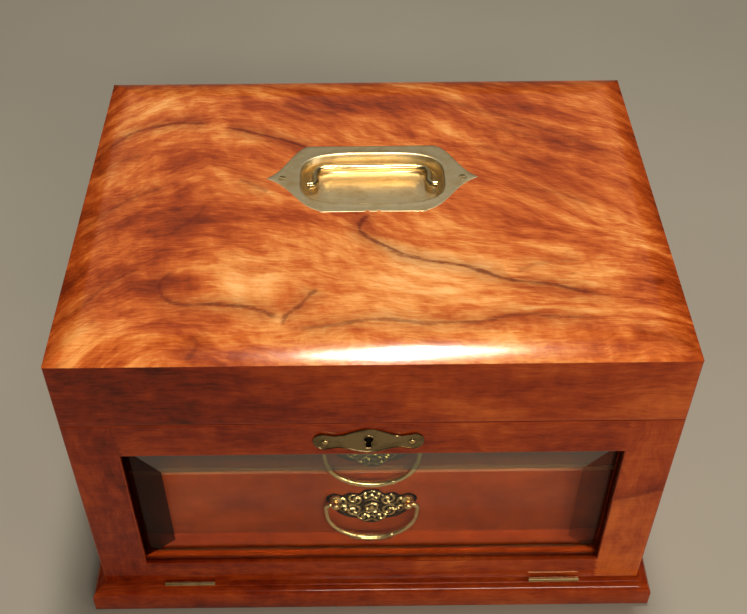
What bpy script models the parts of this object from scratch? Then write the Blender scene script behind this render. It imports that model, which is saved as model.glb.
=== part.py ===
"""Walnut fall-front casket: a lift-up lid over a lined well, and two drawers behind a glazed fall front.

Metres, +Z up, +X to the right, front facing -Y. The origin is the centre of the underside. The lid hinges
at the back, the front falls forward on two butt hinges, and each drawer has a bail handle.
"""
import math

import bmesh
import bpy
from mathutils import Matrix, Vector

MM = 0.001
GAP = 0.3 * MM  # air between pieces that touch

# Case: outer size of the carcass, and heights above the ground.
WIDTH = 300 * MM
DEPTH = 227 * MM
PLINTH_HEIGHT = 17 * MM
SEAM_Z = PLINTH_HEIGHT + 138.7 * MM  # where the lid parts from the case
ARRIS_Z = PLINTH_HEIGHT + 180.1 * MM  # top edge of the lid's upright sides
SIDE_THICKNESS = 12 * MM
BACK_THICKNESS = 10 * MM
HALF_WIDTH = WIDTH / 2
FRONT_Y = -DEPTH / 2
BACK_Y = DEPTH / 2
INSIDE_X = HALF_WIDTH - SIDE_THICKNESS - GAP
CASE_TOP = SEAM_Z - GAP
LID_BOTTOM = SEAM_Z + GAP

# Plinth moulding: a ledge, an ovolo and an upright below it.
PLINTH_OVERHANG = 7.5 * MM
PLINTH_LEDGE = 3 * MM
PLINTH_INWARD = 14 * MM
OVOLO_DROP = 5.5 * MM
OVOLO_QUIRK = 0.8 * MM
OVOLO_STEPS = 6

# Fall front: a glazed frame that covers the whole front of the case.
DOOR_THICKNESS = 10 * MM
DOOR_BOTTOM = PLINTH_HEIGHT + 0.5 * MM
WINDOW_HALF_WIDTH = 125 * MM
WINDOW_BOTTOM = PLINTH_HEIGHT + 18.3 * MM
WINDOW_TOP = PLINTH_HEIGHT + 115 * MM
REBATE = 3.3 * MM
GLASS_INSET = 3.5 * MM  # glass behind the frame's face
GLASS_THICKNESS = 4 * MM
GLASS_EDGE = 1.6 * MM  # thickness at the bevel's thin edge
BEVEL_WIDTH = 21 * MM
CARCASS_FRONT = FRONT_Y + DOOR_THICKNESS + 0.6 * MM
DOOR_AXIS = Vector((0, FRONT_Y - 1.9 * MM, PLINTH_HEIGHT + 1.0 * MM))

# Drawers: a deeper one below a shallower one, with their fronts behind the glass.
DRAWER_FACE_Y = FRONT_Y + 18.5 * MM
LOWER_DRAWER_Z = PLINTH_HEIGHT + 22 * MM
LOWER_DRAWER_HEIGHT = 54.5 * MM
UPPER_DRAWER_HEIGHT = 44.1 * MM
DUST_BOARD_THICKNESS = 2.8 * MM
DUST_BOARD_Z = LOWER_DRAWER_Z + LOWER_DRAWER_HEIGHT + GAP
UPPER_DRAWER_Z = DUST_BOARD_Z + DUST_BOARD_THICKNESS + GAP
DRAWER_HALF_WIDTH = INSIDE_X - 0.5 * MM
DRAWER_BACK_Y = BACK_Y - 13.5 * MM
DRAWER_FRONT_THICKNESS = 8 * MM
DRAWER_SIDE = 5 * MM
DRAWER_SIDE_DROP = 3.5 * MM  # sides and back lower than the front
DRAWER_BOTTOM_RISE = 1.5 * MM
DRAWER_BOTTOM_THICKNESS = 2.5 * MM

# Boards inside the case.
BASE_TOP = PLINTH_HEIGHT + 9 * MM
WELL_FLOOR_Z = UPPER_DRAWER_Z + UPPER_DRAWER_HEIGHT + 0.4 * MM
WELL_FLOOR_THICKNESS = 3 * MM
WELL_LINING = 2.6 * MM
LID_LINING = 3.2 * MM
RUNNER_WIDTH = 9 * MM
BASE_RAIL_DEPTH = 10 * MM

# Drawer handles: a shaped backplate, two posts and a hanging bail.
POST_X = 19.5 * MM
LOWER_PIVOT_Z = PLINTH_HEIGHT + 54.5 * MM
UPPER_PIVOT_Z = LOWER_PIVOT_Z + 48.8 * MM
POST_RADIUS = 2.0 * MM
POST_LENGTH = 6 * MM
BAIL_RADIUS = 1.4 * MM
BAIL_HALF_WIDTH = 24.6 * MM
BAIL_BEND = 2 * MM  # from the stub in the post to the hanging side
BAIL_DROP = 30.5 * MM
BAIL_STRAIGHT = 5 * MM  # below the pivot, before the loop
BAIL_STAND = 4.5 * MM  # bail in front of the drawer's face
BACKPLATE_THICKNESS = 1.2 * MM

# Lid top: a cushion that rolls down to the arris, and the brass handle let into it.
CROWN_RISE = 5 * MM
CROWN_ROLL = 24 * MM
CROWN_RINGS = 8
TONGUE_BOTTOM = PLINTH_HEIGHT + 168 * MM
LID_TOP_Z = ARRIS_Z + CROWN_RISE
HANDLE_X = 2 * MM
HANDLE_Y = 16 * MM
HANDLE_HALF_LENGTH = 57 * MM
HANDLE_HALF_DEPTH = 28.5 * MM
HANDLE_FRONT_EDGE = 27 * MM  # half of the straight front edge
HANDLE_BACK_EDGE = 35 * MM
HANDLE_WAVE = 2.2 * MM  # of the ogee between an edge and the pointed end
HANDLE_PLATE = 1.5 * MM
HANDLE_PROUD = 0.4 * MM
PAN_HALF = (38.5 * MM, 21.5 * MM)
PAN_CORNER = 17 * MM
PAN_DEPTH = 9.4 * MM
PAN_WALL = 1.1 * MM
PAN_DRAFT = 4 * MM
GRIP_RADIUS = 2.4 * MM
GRIP_DEPTH = 4.4 * MM
GRIP_HALF_WIDTH = 30.5 * MM
GRIP_REACH = 14.5 * MM
GRIP_BEND = 6 * MM
GRIP_KNEE = 3 * MM
GRIP_END_GAP = 2 * MM  # from the pivot's end to the pan's wall

# Lock, in the fall front's top rail, with the lid's link plate dropping into it.
LOCK_X = -2 * MM
LOCK_HALF_WIDTH = 22 * MM
LOCK_BOTTOM = PLINTH_HEIGHT + 120 * MM
KEYHOLE_Z = PLINTH_HEIGHT + 126 * MM
ESCUTCHEON_HALF = 27.2 * MM
ESCUTCHEON_LOBE = 6 * MM
ESCUTCHEON_THICKNESS = 1.2 * MM
ESCUTCHEON_WAIST = 4.4 * MM  # half height between the lobes, doubled over the keyhole
ESCUTCHEON_SWELL = 17 * MM
KEYHOLE_RADIUS = 2.2 * MM
KEYHOLE_RISE = 1.6 * MM  # round part above the plate's middle
KEYHOLE_SLOT = 1.2 * MM
KEYHOLE_DROP = 6.2 * MM
POCKET_DEPTH = 4 * MM  # lock pocket behind the rail's face
BOLT_Z = SEAM_Z - 5.2 * MM
BOLT_HALF_HEIGHT = 1.5 * MM
BOLT_X = (LOCK_X - 19 * MM, LOCK_X - 7 * MM)  # tail and nose, drawn back
BOLT_Y = (FRONT_Y + 5.8 * MM, FRONT_Y + 8.6 * MM)
BOLT_CLEARANCE = 0.4 * MM
LINK_HALF_WIDTH = 12 * MM
LINK_Y = (FRONT_Y + 4 * MM, FRONT_Y + 10.4 * MM)
LINK_THICKNESS = 1 * MM
STAPLE_HALF_WIDTH = 3 * MM
STAPLE_Y = (FRONT_Y + 5.6 * MM, FRONT_Y + 9 * MM)
STAPLE_DROP = 9 * MM  # below the seam
STAPLE_CLEARANCE = 1 * MM

# Butt hinges: knuckles along X, leaves let into the wood.
DOOR_HINGE_X = 102.4 * MM
DOOR_HINGE_HALF = 14 * MM
LID_HINGE_X = 95 * MM
LID_HINGE_HALF = 18 * MM
LEAF = 0.8 * MM
LEAF_REACH = 9 * MM
LEAF_OVERLAP = 2 * MM  # how far a knuckle's tab runs on to its leaf
KNUCKLE_RADIUS = 1.5 * MM
KNUCKLE_BORE = 0.9 * MM
KNUCKLE_GAP = 0.4 * MM
PIN_RADIUS = 0.7 * MM
PIN_SHORT = 1 * MM  # pin end inside the last knuckle
OVERCUT = 1 * MM  # how far a cutter runs past the face it opens
LID_AXIS = Vector((0, BACK_Y + 1.9 * MM, SEAM_Z))
KNUCKLE_SIDES = 16

WALNUT = ("walnut", (0.205, 0.052, 0.013), 0.22, 0.0)
MAHOGANY = ("mahogany", (0.16, 0.05, 0.02), 0.45, 0.0)
BRASS = ("brass", (0.62, 0.46, 0.20), 0.25, 1.0)
STEEL = ("steel", (0.35, 0.34, 0.33), 0.4, 1.0)
GLASS = ("glass", (0.85, 0.92, 0.86), 0.03, 0.0)
VELVET = ("velvet", (0.10, 0.01, 0.02), 0.9, 0.0)


def clear_scene():
    for old in list(bpy.data.objects):
        bpy.data.objects.remove(old)


def new_collection(name):
    made = bpy.data.collections.new(name)
    bpy.context.scene.collection.children.link(made)
    return made


clear_scene()
CASKET = new_collection("casket")
CUTTERS = new_collection("cutters")
CUTTERS.hide_render = True


def material(finish):
    """The Principled material of a finish, made once."""
    name, colour, roughness, metallic = finish
    found = bpy.data.materials.get(name)
    if found:
        return found
    made = bpy.data.materials.new(name)
    made.use_nodes = True
    shader = made.node_tree.nodes["Principled BSDF"]
    shader.inputs["Base Color"].default_value = (*colour, 1)
    shader.inputs["Roughness"].default_value = roughness
    shader.inputs["Metallic"].default_value = metallic
    return made


def add(name, mesh, finish, origin=(0, 0, 0)):
    """A named piece from a mesh in world coordinates, with its origin moved to a point."""
    mesh.transform(Matrix.Translation(-Vector(origin)))
    mesh.materials.clear()
    mesh.materials.append(material(finish))
    piece = bpy.data.objects.new(name, mesh)
    piece.location = origin
    CASKET.objects.link(piece)
    return piece


def add_cutter(name, mesh):
    cutter = bpy.data.objects.new(name, mesh)
    cutter.hide_render = True
    cutter.display_type = "WIRE"
    CUTTERS.objects.link(cutter)
    return cutter


def boolean(piece, mesh, operation="DIFFERENCE"):
    """Cuts a mesh from a piece, or joins it on with UNION, by an exact Boolean."""
    tool = add_cutter(f"{piece.name}_{operation.lower()}_{len(piece.modifiers)}", mesh)
    step = piece.modifiers.new(tool.name, "BOOLEAN")
    step.operation = operation
    step.solver = "EXACT"
    step.object = tool
    return tool


def from_bmesh(bm, name="shape"):
    bmesh.ops.recalc_face_normals(bm, faces=bm.faces)
    mesh = bpy.data.meshes.new(name)
    bm.to_mesh(mesh)
    bm.free()
    return mesh


def box(low, high):
    """A box between two corners."""
    low, high = Vector(low), Vector(high)
    bm = bmesh.new()
    bmesh.ops.create_cube(bm, size=1)
    size = high - low
    scale = Matrix.Diagonal((size.x, size.y, size.z, 1))
    bmesh.ops.transform(bm, matrix=Matrix.Translation((low + high) / 2) @ scale, verts=bm.verts)
    return from_bmesh(bm)


def rod(start, end, radius, sides=KNUCKLE_SIDES):
    """A cylinder from one point to another."""
    start, end = Vector(start), Vector(end)
    bm = bmesh.new()
    bmesh.ops.create_cone(
        bm, cap_ends=True, segments=sides, radius1=radius, radius2=radius, depth=(end - start).length
    )
    turn = (end - start).to_track_quat("Z", "Y").to_matrix().to_4x4()
    bmesh.ops.transform(bm, matrix=Matrix.Translation((start + end) / 2) @ turn, verts=bm.verts)
    return from_bmesh(bm)


def prism(outline, low, high, axis="Z"):
    """An outline of (across, up) points carried from low to high along an axis: Z takes (x, y), Y (x, z)."""
    bm = bmesh.new()
    if axis == "Z":
        verts = [bm.verts.new((a, b, low)) for a, b in outline]
        along = Vector((0, 0, high - low))
    else:
        verts = [bm.verts.new((a, low, b)) for a, b in outline]
        along = Vector((0, high - low, 0))
    face = bm.faces.new(verts)
    grown = bmesh.ops.extrude_face_region(bm, geom=[face])
    moved = [item for item in grown["geom"] if isinstance(item, bmesh.types.BMVert)]
    bmesh.ops.translate(bm, verts=moved, vec=along)
    return from_bmesh(bm)


def stack(rings):
    """A closed solid through rings of equal length, lowest first, each a list of (x, y, z)."""
    bm = bmesh.new()
    rows = [[bm.verts.new(point) for point in ring] for ring in rings]
    count = len(rows[0])
    for lower, upper in zip(rows, rows[1:]):
        for i in range(count):
            j = (i + 1) % count
            bm.faces.new((lower[i], lower[j], upper[j], upper[i]))
    bm.faces.new(rows[0][::-1])
    bm.faces.new(rows[-1])
    return from_bmesh(bm)


def tube(name, points, radius, finish, origin):
    """A round bar along points, as a polyline curve with capped ends."""
    curve = bpy.data.curves.new(name, "CURVE")
    curve.dimensions = "3D"
    curve.bevel_depth = radius
    curve.bevel_resolution = 2
    curve.use_fill_caps = True
    spline = curve.splines.new("POLY")
    spline.points.add(len(points) - 1)
    for target, point in zip(spline.points, points):
        target.co = (*(Vector(point) - Vector(origin)), 1)
    curve.materials.append(material(finish))
    bar = bpy.data.objects.new(name, curve)
    bar.location = origin
    CASKET.objects.link(bar)
    return bar


def arc(centre, radius, start, end, steps):
    """Points on a circle in a plane, between two angles in degrees."""
    angles = [math.radians(start + (end - start) * i / steps) for i in range(steps + 1)]
    return [(centre[0] + radius * math.cos(a), centre[1] + radius * math.sin(a)) for a in angles]


def rounded_rectangle(half_x, half_y, corner, steps=5):
    points = []
    for sign_x, sign_y, start in ((1, 1, 0), (-1, 1, 90), (-1, -1, 180), (1, -1, 270)):
        centre = (sign_x * (half_x - corner), sign_y * (half_y - corner))
        points += arc(centre, corner, start, start + 90, steps)
    return points


def at(points, x, y):
    return [(px + x, py + y) for px, py in points]


def plinth_piece(name, length, turn):
    """One mitred side of the plinth: the moulding's profile run along X, then turned to its side."""
    out, top = PLINTH_OVERHANG, PLINTH_HEIGHT
    curve_x, curve_z = out - PLINTH_LEDGE, OVOLO_DROP
    profile = [(-PLINTH_INWARD, 0), (-PLINTH_INWARD, top), (PLINTH_LEDGE, top)]
    profile += [
        (PLINTH_LEDGE + curve_x * math.sin(a), top - OVOLO_QUIRK - curve_z * (1 - math.cos(a)))
        for a in (math.pi / 2 * i / OVOLO_STEPS for i in range(OVOLO_STEPS + 1))
    ]
    profile.append((out, 0))
    across = DEPTH / 2 if turn in (0, 180) else WIDTH / 2
    bm = bmesh.new()
    verts = [bm.verts.new((0, -across - reach, z)) for reach, z in profile]
    face = bm.faces.new(verts)
    grown = bmesh.ops.extrude_face_region(bm, geom=[face])
    far = {item for item in grown["geom"] if isinstance(item, bmesh.types.BMVert)}
    for vert in bm.verts:
        mitre = length / 2 + (-vert.co.y - across) - GAP / 2
        vert.co.x = mitre if vert in far else -mitre
    bmesh.ops.rotate(bm, verts=bm.verts, matrix=Matrix.Rotation(math.radians(turn), 3, "Z"))
    return add(name, from_bmesh(bm), WALNUT)


def build_plinth():
    front = plinth_piece("plinth_front", WIDTH, 0)
    plinth_piece("plinth_right", DEPTH, 90)
    plinth_piece("plinth_back", WIDTH, 180)
    plinth_piece("plinth_left", DEPTH, 270)
    half = DOOR_HINGE_HALF + GAP
    for side in (-1, 1):
        centre = side * DOOR_HINGE_X
        low = (centre - half, DOOR_AXIS.y - KNUCKLE_RADIUS - BOLT_CLEARANCE, PLINTH_HEIGHT - 1.1 * MM)
        high = (centre + half, FRONT_Y + LEAF_REACH + GAP, PLINTH_HEIGHT + OVERCUT)
        boolean(front, box(low, high))


def build_case():
    """Sides, back and the boards between them."""
    low_z = PLINTH_HEIGHT + GAP
    for side, label in ((-1, "left"), (1, "right")):
        inner, outer = side * (HALF_WIDTH - SIDE_THICKNESS), side * HALF_WIDTH
        low = (min(inner, outer), CARCASS_FRONT, low_z)
        high = (max(inner, outer), BACK_Y, CASE_TOP)
        add(f"side_{label}", box(low, high), WALNUT)
    inner_back = BACK_Y - BACK_THICKNESS
    back = add("back_panel", box((-INSIDE_X, inner_back, low_z), (INSIDE_X, BACK_Y, CASE_TOP)), WALNUT)
    for side in (-1, 1):
        boolean(back, leaf_recess(side * LID_HINGE_X, CASE_TOP - 1.2 * MM, CASE_TOP + OVERCUT))
    rear = inner_back - GAP
    add("base_board", box((-INSIDE_X, CARCASS_FRONT, low_z), (INSIDE_X, rear, BASE_TOP)), MAHOGANY)
    rail_back = DRAWER_FACE_Y + BASE_RAIL_DEPTH
    rail_z = (BASE_TOP + GAP, LOWER_DRAWER_Z - GAP)
    base_rail = box((-INSIDE_X, DRAWER_FACE_Y, rail_z[0]), (INSIDE_X, rail_back, rail_z[1]))
    add("base_rail", base_rail, WALNUT)
    for side, label in ((-1, "left"), (1, "right")):
        edges = sorted((side * INSIDE_X, side * (INSIDE_X - RUNNER_WIDTH)))
        low = (edges[0], rail_back + GAP, rail_z[0])
        add(f"runner_{label}", box(low, (edges[1], rear, rail_z[1])), MAHOGANY)
    dust_top = DUST_BOARD_Z + DUST_BOARD_THICKNESS
    dust = box((-INSIDE_X, DRAWER_FACE_Y, DUST_BOARD_Z), (INSIDE_X, rear, dust_top))
    add("dust_board", dust, MAHOGANY)
    floor_top = WELL_FLOOR_Z + WELL_FLOOR_THICKNESS
    floor = box((-INSIDE_X, DRAWER_FACE_Y + GAP, WELL_FLOOR_Z), (INSIDE_X, rear, floor_top))
    add("well_floor", floor, MAHOGANY)
    rail = box((-INSIDE_X, CARCASS_FRONT, WELL_FLOOR_Z), (INSIDE_X, DRAWER_FACE_Y, CASE_TOP - GAP))
    add("well_front_rail", rail, WALNUT)
    lining_low = (-INSIDE_X + GAP, DRAWER_FACE_Y + 2 * GAP, floor_top + GAP)
    lining_high = (INSIDE_X - GAP, rear - GAP, floor_top + GAP + WELL_LINING)
    add("well_lining", box(lining_low, lining_high), VELVET)


def leaf_recess(centre, low_z, high_z):
    """The shallow housing for a back hinge's leaf, open to the back."""
    half = LID_HINGE_HALF + GAP
    low = (centre - half, BACK_Y - LEAF_REACH - GAP, low_z)
    return box(low, (centre + half, BACK_Y + OVERCUT, high_z))


def hinge(name_case, name_moving, axis, centre, half, facing, case_z, moving_z):
    """A butt hinge: the fixed leaf has the two outer knuckles and the pin, the moving one the middle knuckle.

    facing is -1 at the front and 1 at the back. Each leaf runs from the knuckles into the wood.
    """
    third = half / 3
    face_y = FRONT_Y if facing < 0 else BACK_Y
    end_y = face_y - facing * LEAF_REACH
    near, far = sorted((face_y, end_y))

    def plate(start, end, y_one, y_two, z_low):
        y_low, y_high = sorted((y_one, y_two))
        return box((centre + start, y_low, z_low), (centre + end, y_high, z_low + LEAF))

    def barrel(start, end, radius):
        return rod((centre + start, axis.y, axis.z), (centre + end, axis.y, axis.z), radius)

    fixed = add(name_case, plate(-half, half, near, far, case_z), BRASS)
    moving_origin = (centre, axis.y, axis.z)
    moving = add(name_moving, plate(-half, half, near, far, moving_z), BRASS, moving_origin)
    inside = face_y - facing * LEAF_OVERLAP
    for start, end in ((-half, -third - KNUCKLE_GAP), (third + KNUCKLE_GAP, half)):
        boolean(fixed, plate(start, end, axis.y, inside, case_z), "UNION")
        boolean(fixed, barrel(start, end, KNUCKLE_RADIUS), "UNION")
    boolean(fixed, barrel(PIN_SHORT - half, half - PIN_SHORT, PIN_RADIUS), "UNION")
    boolean(moving, plate(-third, third, axis.y, inside, moving_z), "UNION")
    boolean(moving, barrel(-third, third, KNUCKLE_RADIUS), "UNION")
    boolean(moving, barrel(-half, half, KNUCKLE_BORE))


def build_hinges():
    for side, label in ((-1, "left"), (1, "right")):
        hinge(
            f"front_hinge_fixed_leaf_{label}",
            f"front_hinge_moving_leaf_{label}",
            DOOR_AXIS,
            side * DOOR_HINGE_X,
            DOOR_HINGE_HALF,
            -1,
            PLINTH_HEIGHT - 1.0 * MM,
            DOOR_BOTTOM + 0.15 * MM,
        )
        hinge(
            f"lid_hinge_fixed_leaf_{label}",
            f"lid_hinge_moving_leaf_{label}",
            LID_AXIS,
            side * LID_HINGE_X,
            LID_HINGE_HALF,
            1,
            CASE_TOP - 1.1 * MM,
            LID_BOTTOM + 0.3 * MM,
        )


def build_front():
    """The glazed fall front: stiles, rails, bevelled glass and the beads that hold it."""
    face, back = FRONT_Y, FRONT_Y + DOOR_THICKNESS
    door_top = CASE_TOP
    inner = WINDOW_HALF_WIDTH
    rebate = box(
        (-inner - REBATE, face + GLASS_INSET - GAP, WINDOW_BOTTOM - REBATE),
        (inner + REBATE, back + OVERCUT, WINDOW_TOP + REBATE),
    )
    for side, label in ((-1, "left"), (1, "right")):
        low_x, high_x = sorted((side * inner, side * HALF_WIDTH))
        stile = box((low_x, face, DOOR_BOTTOM), (high_x, back, door_top))
        boolean(add(f"front_stile_{label}", stile, WALNUT, DOOR_AXIS), rebate.copy())
    edge = inner - GAP
    top_mesh = box((-edge, face, WINDOW_TOP), (edge, back, door_top))
    top = add("front_top_rail", top_mesh, WALNUT, DOOR_AXIS)
    boolean(top, rebate.copy())
    bottom_mesh = box((-edge, face, DOOR_BOTTOM), (edge, back, WINDOW_BOTTOM))
    bottom = add("front_bottom_rail", bottom_mesh, WALNUT, DOOR_AXIS)
    boolean(bottom, rebate)
    half = DOOR_HINGE_HALF + GAP
    for side in (-1, 1):
        centre = side * DOOR_HINGE_X
        low = (centre - half, face - OVERCUT, DOOR_BOTTOM - OVERCUT)
        high = (centre + half, face + LEAF_REACH + GAP, DOOR_BOTTOM + 1.2 * MM)
        boolean(bottom, box(low, high))
    pocket_half = LOCK_HALF_WIDTH + GAP
    pocket = box(
        (LOCK_X - pocket_half, face + POCKET_DEPTH, LOCK_BOTTOM - GAP),
        (LOCK_X + pocket_half, back + OVERCUT, door_top + OVERCUT),
    )
    boolean(top, pocket)
    boolean(top, keyhole(face - OVERCUT, face + POCKET_DEPTH + OVERCUT))
    build_glass(face + GLASS_INSET)
    build_beads(face + GLASS_INSET + GLASS_THICKNESS + GAP, back - GAP)


def build_glass(face):
    """A plate with a wide bevel all round its front: a rectangle that steps in to a smaller one."""
    half = WINDOW_HALF_WIDTH + REBATE - GAP
    low, high = WINDOW_BOTTOM - REBATE + GAP, WINDOW_TOP + REBATE - GAP
    back = face + GLASS_THICKNESS

    def ring(inset, y):
        right, bottom, top = half - inset, low + inset, high - inset
        return [(-right, y, bottom), (right, y, bottom), (right, y, top), (-right, y, top)]

    rings = [ring(0, back), ring(0, back - GLASS_EDGE), ring(BEVEL_WIDTH, face)]
    add("front_glass", stack(rings), GLASS, DOOR_AXIS)


def build_beads(low_y, high_y):
    outer_x = WINDOW_HALF_WIDTH + REBATE - GAP
    outer_low, outer_high = WINDOW_BOTTOM - REBATE + GAP, WINDOW_TOP + REBATE - GAP
    width = REBATE
    for side, label in ((-1, "left"), (1, "right")):
        edges = sorted((side * outer_x, side * (outer_x - width)))
        low = (edges[0], low_y, outer_low + width + GAP)
        high = (edges[1], high_y, outer_high - width - GAP)
        add(f"glass_bead_{label}", box(low, high), WALNUT, DOOR_AXIS)
    for label, z_low in (("bottom", outer_low), ("top", outer_high - width)):
        low, high = (-outer_x, low_y, z_low), (outer_x, high_y, z_low + width)
        add(f"glass_bead_{label}", box(low, high), WALNUT, DOOR_AXIS)


def keyhole(low_y, high_y):
    """A round hole with a slot running down from it."""
    spread = math.degrees(math.asin(KEYHOLE_SLOT / KEYHOLE_RADIUS))
    outline = arc((0, 0), KEYHOLE_RADIUS, -90 + spread, 270 - spread, 14)
    outline += [(-KEYHOLE_SLOT, -KEYHOLE_DROP), (KEYHOLE_SLOT, -KEYHOLE_DROP)]
    return prism(at(outline, LOCK_X, KEYHOLE_Z + KEYHOLE_RISE), low_y, high_y, "Y")


def escutcheon_outline():
    """Upper edge: the taller of an end lobe and a middle swelling; the lower edge mirrors it."""
    steps = 44
    lobe_x = ESCUTCHEON_HALF - ESCUTCHEON_LOBE
    upper = []
    for i in range(steps + 1):
        x = ESCUTCHEON_HALF * math.cos(math.pi * i / steps)
        off = abs(x) - lobe_x
        lobe = math.sqrt(max(0, ESCUTCHEON_LOBE**2 - off**2)) if abs(off) < ESCUTCHEON_LOBE else 0
        swell = ESCUTCHEON_WAIST * (1.5 + 0.5 * math.cos(math.pi * min(1, abs(x) / ESCUTCHEON_SWELL)))
        upper.append((x, max(lobe, swell if abs(x) < lobe_x else 0)))
    return upper + [(x, -z) for x, z in upper[-2:0:-1]]


def build_lock():
    """Escutcheon, lock case let into the rail from behind, its bolt, and the lid's link plate."""
    face = FRONT_Y
    outline = at(escutcheon_outline(), LOCK_X, KEYHOLE_Z)
    plate = prism(outline, face - GAP - ESCUTCHEON_THICKNESS, face - GAP, "Y")
    escutcheon = add("escutcheon", plate, BRASS, DOOR_AXIS)
    boolean(escutcheon, keyhole(face - GAP - ESCUTCHEON_THICKNESS - OVERCUT, face))

    # The case has a slot in its top edge for the staple, and beside it a channel for the bolt.
    back = face + DOOR_THICKNESS - GAP
    low = (LOCK_X - LOCK_HALF_WIDTH, face + POCKET_DEPTH + GAP, LOCK_BOTTOM)
    case = add("lock_case", box(low, (LOCK_X + LOCK_HALF_WIDTH, back, CASE_TOP - GAP)), STEEL, DOOR_AXIS)
    slot_half = STAPLE_HALF_WIDTH + STAPLE_CLEARANCE
    slot_low = (LOCK_X - slot_half, STAPLE_Y[0] - 0.7 * MM, SEAM_Z - STAPLE_DROP - 1.5 * MM)
    boolean(case, box(slot_low, (LOCK_X + slot_half, back + OVERCUT, SEAM_Z + OVERCUT)))
    channel_half = BOLT_HALF_HEIGHT + BOLT_CLEARANCE
    channel_low = (BOLT_X[0] - OVERCUT, BOLT_Y[0] - BOLT_CLEARANCE, BOLT_Z - channel_half)
    boolean(case, box(channel_low, (LOCK_X - STAPLE_HALF_WIDTH, back + OVERCUT, BOLT_Z + channel_half)))

    bolt_low = (BOLT_X[0], BOLT_Y[0], BOLT_Z - BOLT_HALF_HEIGHT)
    bolt_high = (BOLT_X[1], BOLT_Y[1], BOLT_Z + BOLT_HALF_HEIGHT)
    add("lock_bolt", box(bolt_low, bolt_high), STEEL, bolt_low)

    # A notch across the staple's near half lets the bolt in.
    link_z = LID_BOTTOM + GAP
    link_low = (LOCK_X - LINK_HALF_WIDTH, LINK_Y[0], link_z)
    link_high = (LOCK_X + LINK_HALF_WIDTH, LINK_Y[1], link_z + LINK_THICKNESS)
    link = add("link_plate", box(link_low, link_high), BRASS, LID_AXIS)
    staple_low = (LOCK_X - STAPLE_HALF_WIDTH, STAPLE_Y[0], SEAM_Z - STAPLE_DROP)
    staple_high = (LOCK_X + STAPLE_HALF_WIDTH, STAPLE_Y[1], link_z + GAP)
    boolean(link, box(staple_low, staple_high), "UNION")
    notch_half = BOLT_HALF_HEIGHT + 0.9 * MM
    notch_low = (LOCK_X - slot_half, STAPLE_Y[0] - OVERCUT, BOLT_Z - notch_half)
    boolean(link, box(notch_low, (LOCK_X - 0.4 * MM, STAPLE_Y[1] + OVERCUT, BOLT_Z + notch_half)))


def build_lid():
    top_z = ARRIS_Z - GAP
    face, rear = FRONT_Y, BACK_Y
    front = add(
        "lid_front_rail",
        box((-HALF_WIDTH, face, LID_BOTTOM), (HALF_WIDTH, face + SIDE_THICKNESS, top_z)),
        WALNUT,
        LID_AXIS,
    )
    recess_half = LINK_HALF_WIDTH + GAP
    recess_low = (LOCK_X - recess_half, LINK_Y[0] - GAP, LID_BOTTOM - OVERCUT)
    recess_high = (LOCK_X + recess_half, LINK_Y[1] + GAP, LID_BOTTOM + 2 * GAP + LINK_THICKNESS)
    boolean(front, box(recess_low, recess_high))
    back = add(
        "lid_back_rail",
        box((-HALF_WIDTH, rear - SIDE_THICKNESS, LID_BOTTOM), (HALF_WIDTH, rear, top_z)),
        WALNUT,
        LID_AXIS,
    )
    for side in (-1, 1):
        boolean(back, leaf_recess(side * LID_HINGE_X, LID_BOTTOM - OVERCUT, LID_BOTTOM + 1.3 * MM))
    side_y = DEPTH / 2 - SIDE_THICKNESS - GAP
    for side, label in ((-1, "left"), (1, "right")):
        edges = sorted((side * HALF_WIDTH, side * (HALF_WIDTH - SIDE_THICKNESS)))
        low, high = (edges[0], -side_y, LID_BOTTOM), (edges[1], side_y, top_z)
        add(f"lid_{label}_rail", box(low, high), WALNUT, LID_AXIS)
    build_lid_top(side_y)
    pad_low = (-INSIDE_X + GAP, -side_y + GAP, TONGUE_BOTTOM - GAP - LID_LINING)
    add("lid_lining", box(pad_low, (INSIDE_X - GAP, side_y - GAP, TONGUE_BOTTOM - GAP)), VELVET, LID_AXIS)


def build_lid_top(tongue_y):
    """A cushion over the rails, with a tongue below that fits between them."""
    def ring(x, y, z):
        return [(-x, -y, z), (x, -y, z), (x, y, z), (-x, y, z)]

    rings = [ring(INSIDE_X, tongue_y, z) for z in (TONGUE_BOTTOM, ARRIS_Z)]
    for i in range(CROWN_RINGS + 1):
        inset = CROWN_ROLL * i / CROWN_RINGS
        rise = CROWN_RISE * (1 - (1 - inset / CROWN_ROLL) ** 2)
        rings.append(ring(HALF_WIDTH - inset, DEPTH / 2 - inset, ARRIS_Z + rise))
    top = add("lid_top", stack(rings), WALNUT, LID_AXIS)
    recess_floor = LID_TOP_Z + HANDLE_PROUD - HANDLE_PLATE - GAP
    boolean(top, prism(handle_outline(GAP), recess_floor, LID_TOP_Z + OVERCUT))
    hole = rounded_rectangle(PAN_HALF[0] + PAN_WALL + GAP, PAN_HALF[1] + PAN_WALL + GAP, PAN_CORNER)
    floor = LID_TOP_Z - PAN_DEPTH - PAN_WALL - GAP
    boolean(top, prism(at(hole, HANDLE_X, HANDLE_Y), floor, LID_TOP_Z + 2 * OVERCUT))


def handle_outline(grow=0.0):
    """The flush handle's plate: long straight edges, then an ogee on each side to a pointed end."""
    length, depth = HANDLE_HALF_LENGTH + grow, HANDLE_HALF_DEPTH + grow
    steps = 10

    def ogee(start_x, sign):
        points = []
        for i in range(steps + 1):
            t = i / steps
            x = start_x + (length - start_x) * t
            y = depth * (1 - t) + HANDLE_WAVE * math.sin(2 * math.pi * t)
            points.append((x, sign * y))
        return points

    right_front = ogee(HANDLE_FRONT_EDGE, -1)
    right_back = ogee(HANDLE_BACK_EDGE, 1)[:-1][::-1]
    right = right_front + right_back
    left = [(-x, y) for x, y in right[::-1]]
    return at(right + left, HANDLE_X, HANDLE_Y)


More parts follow.
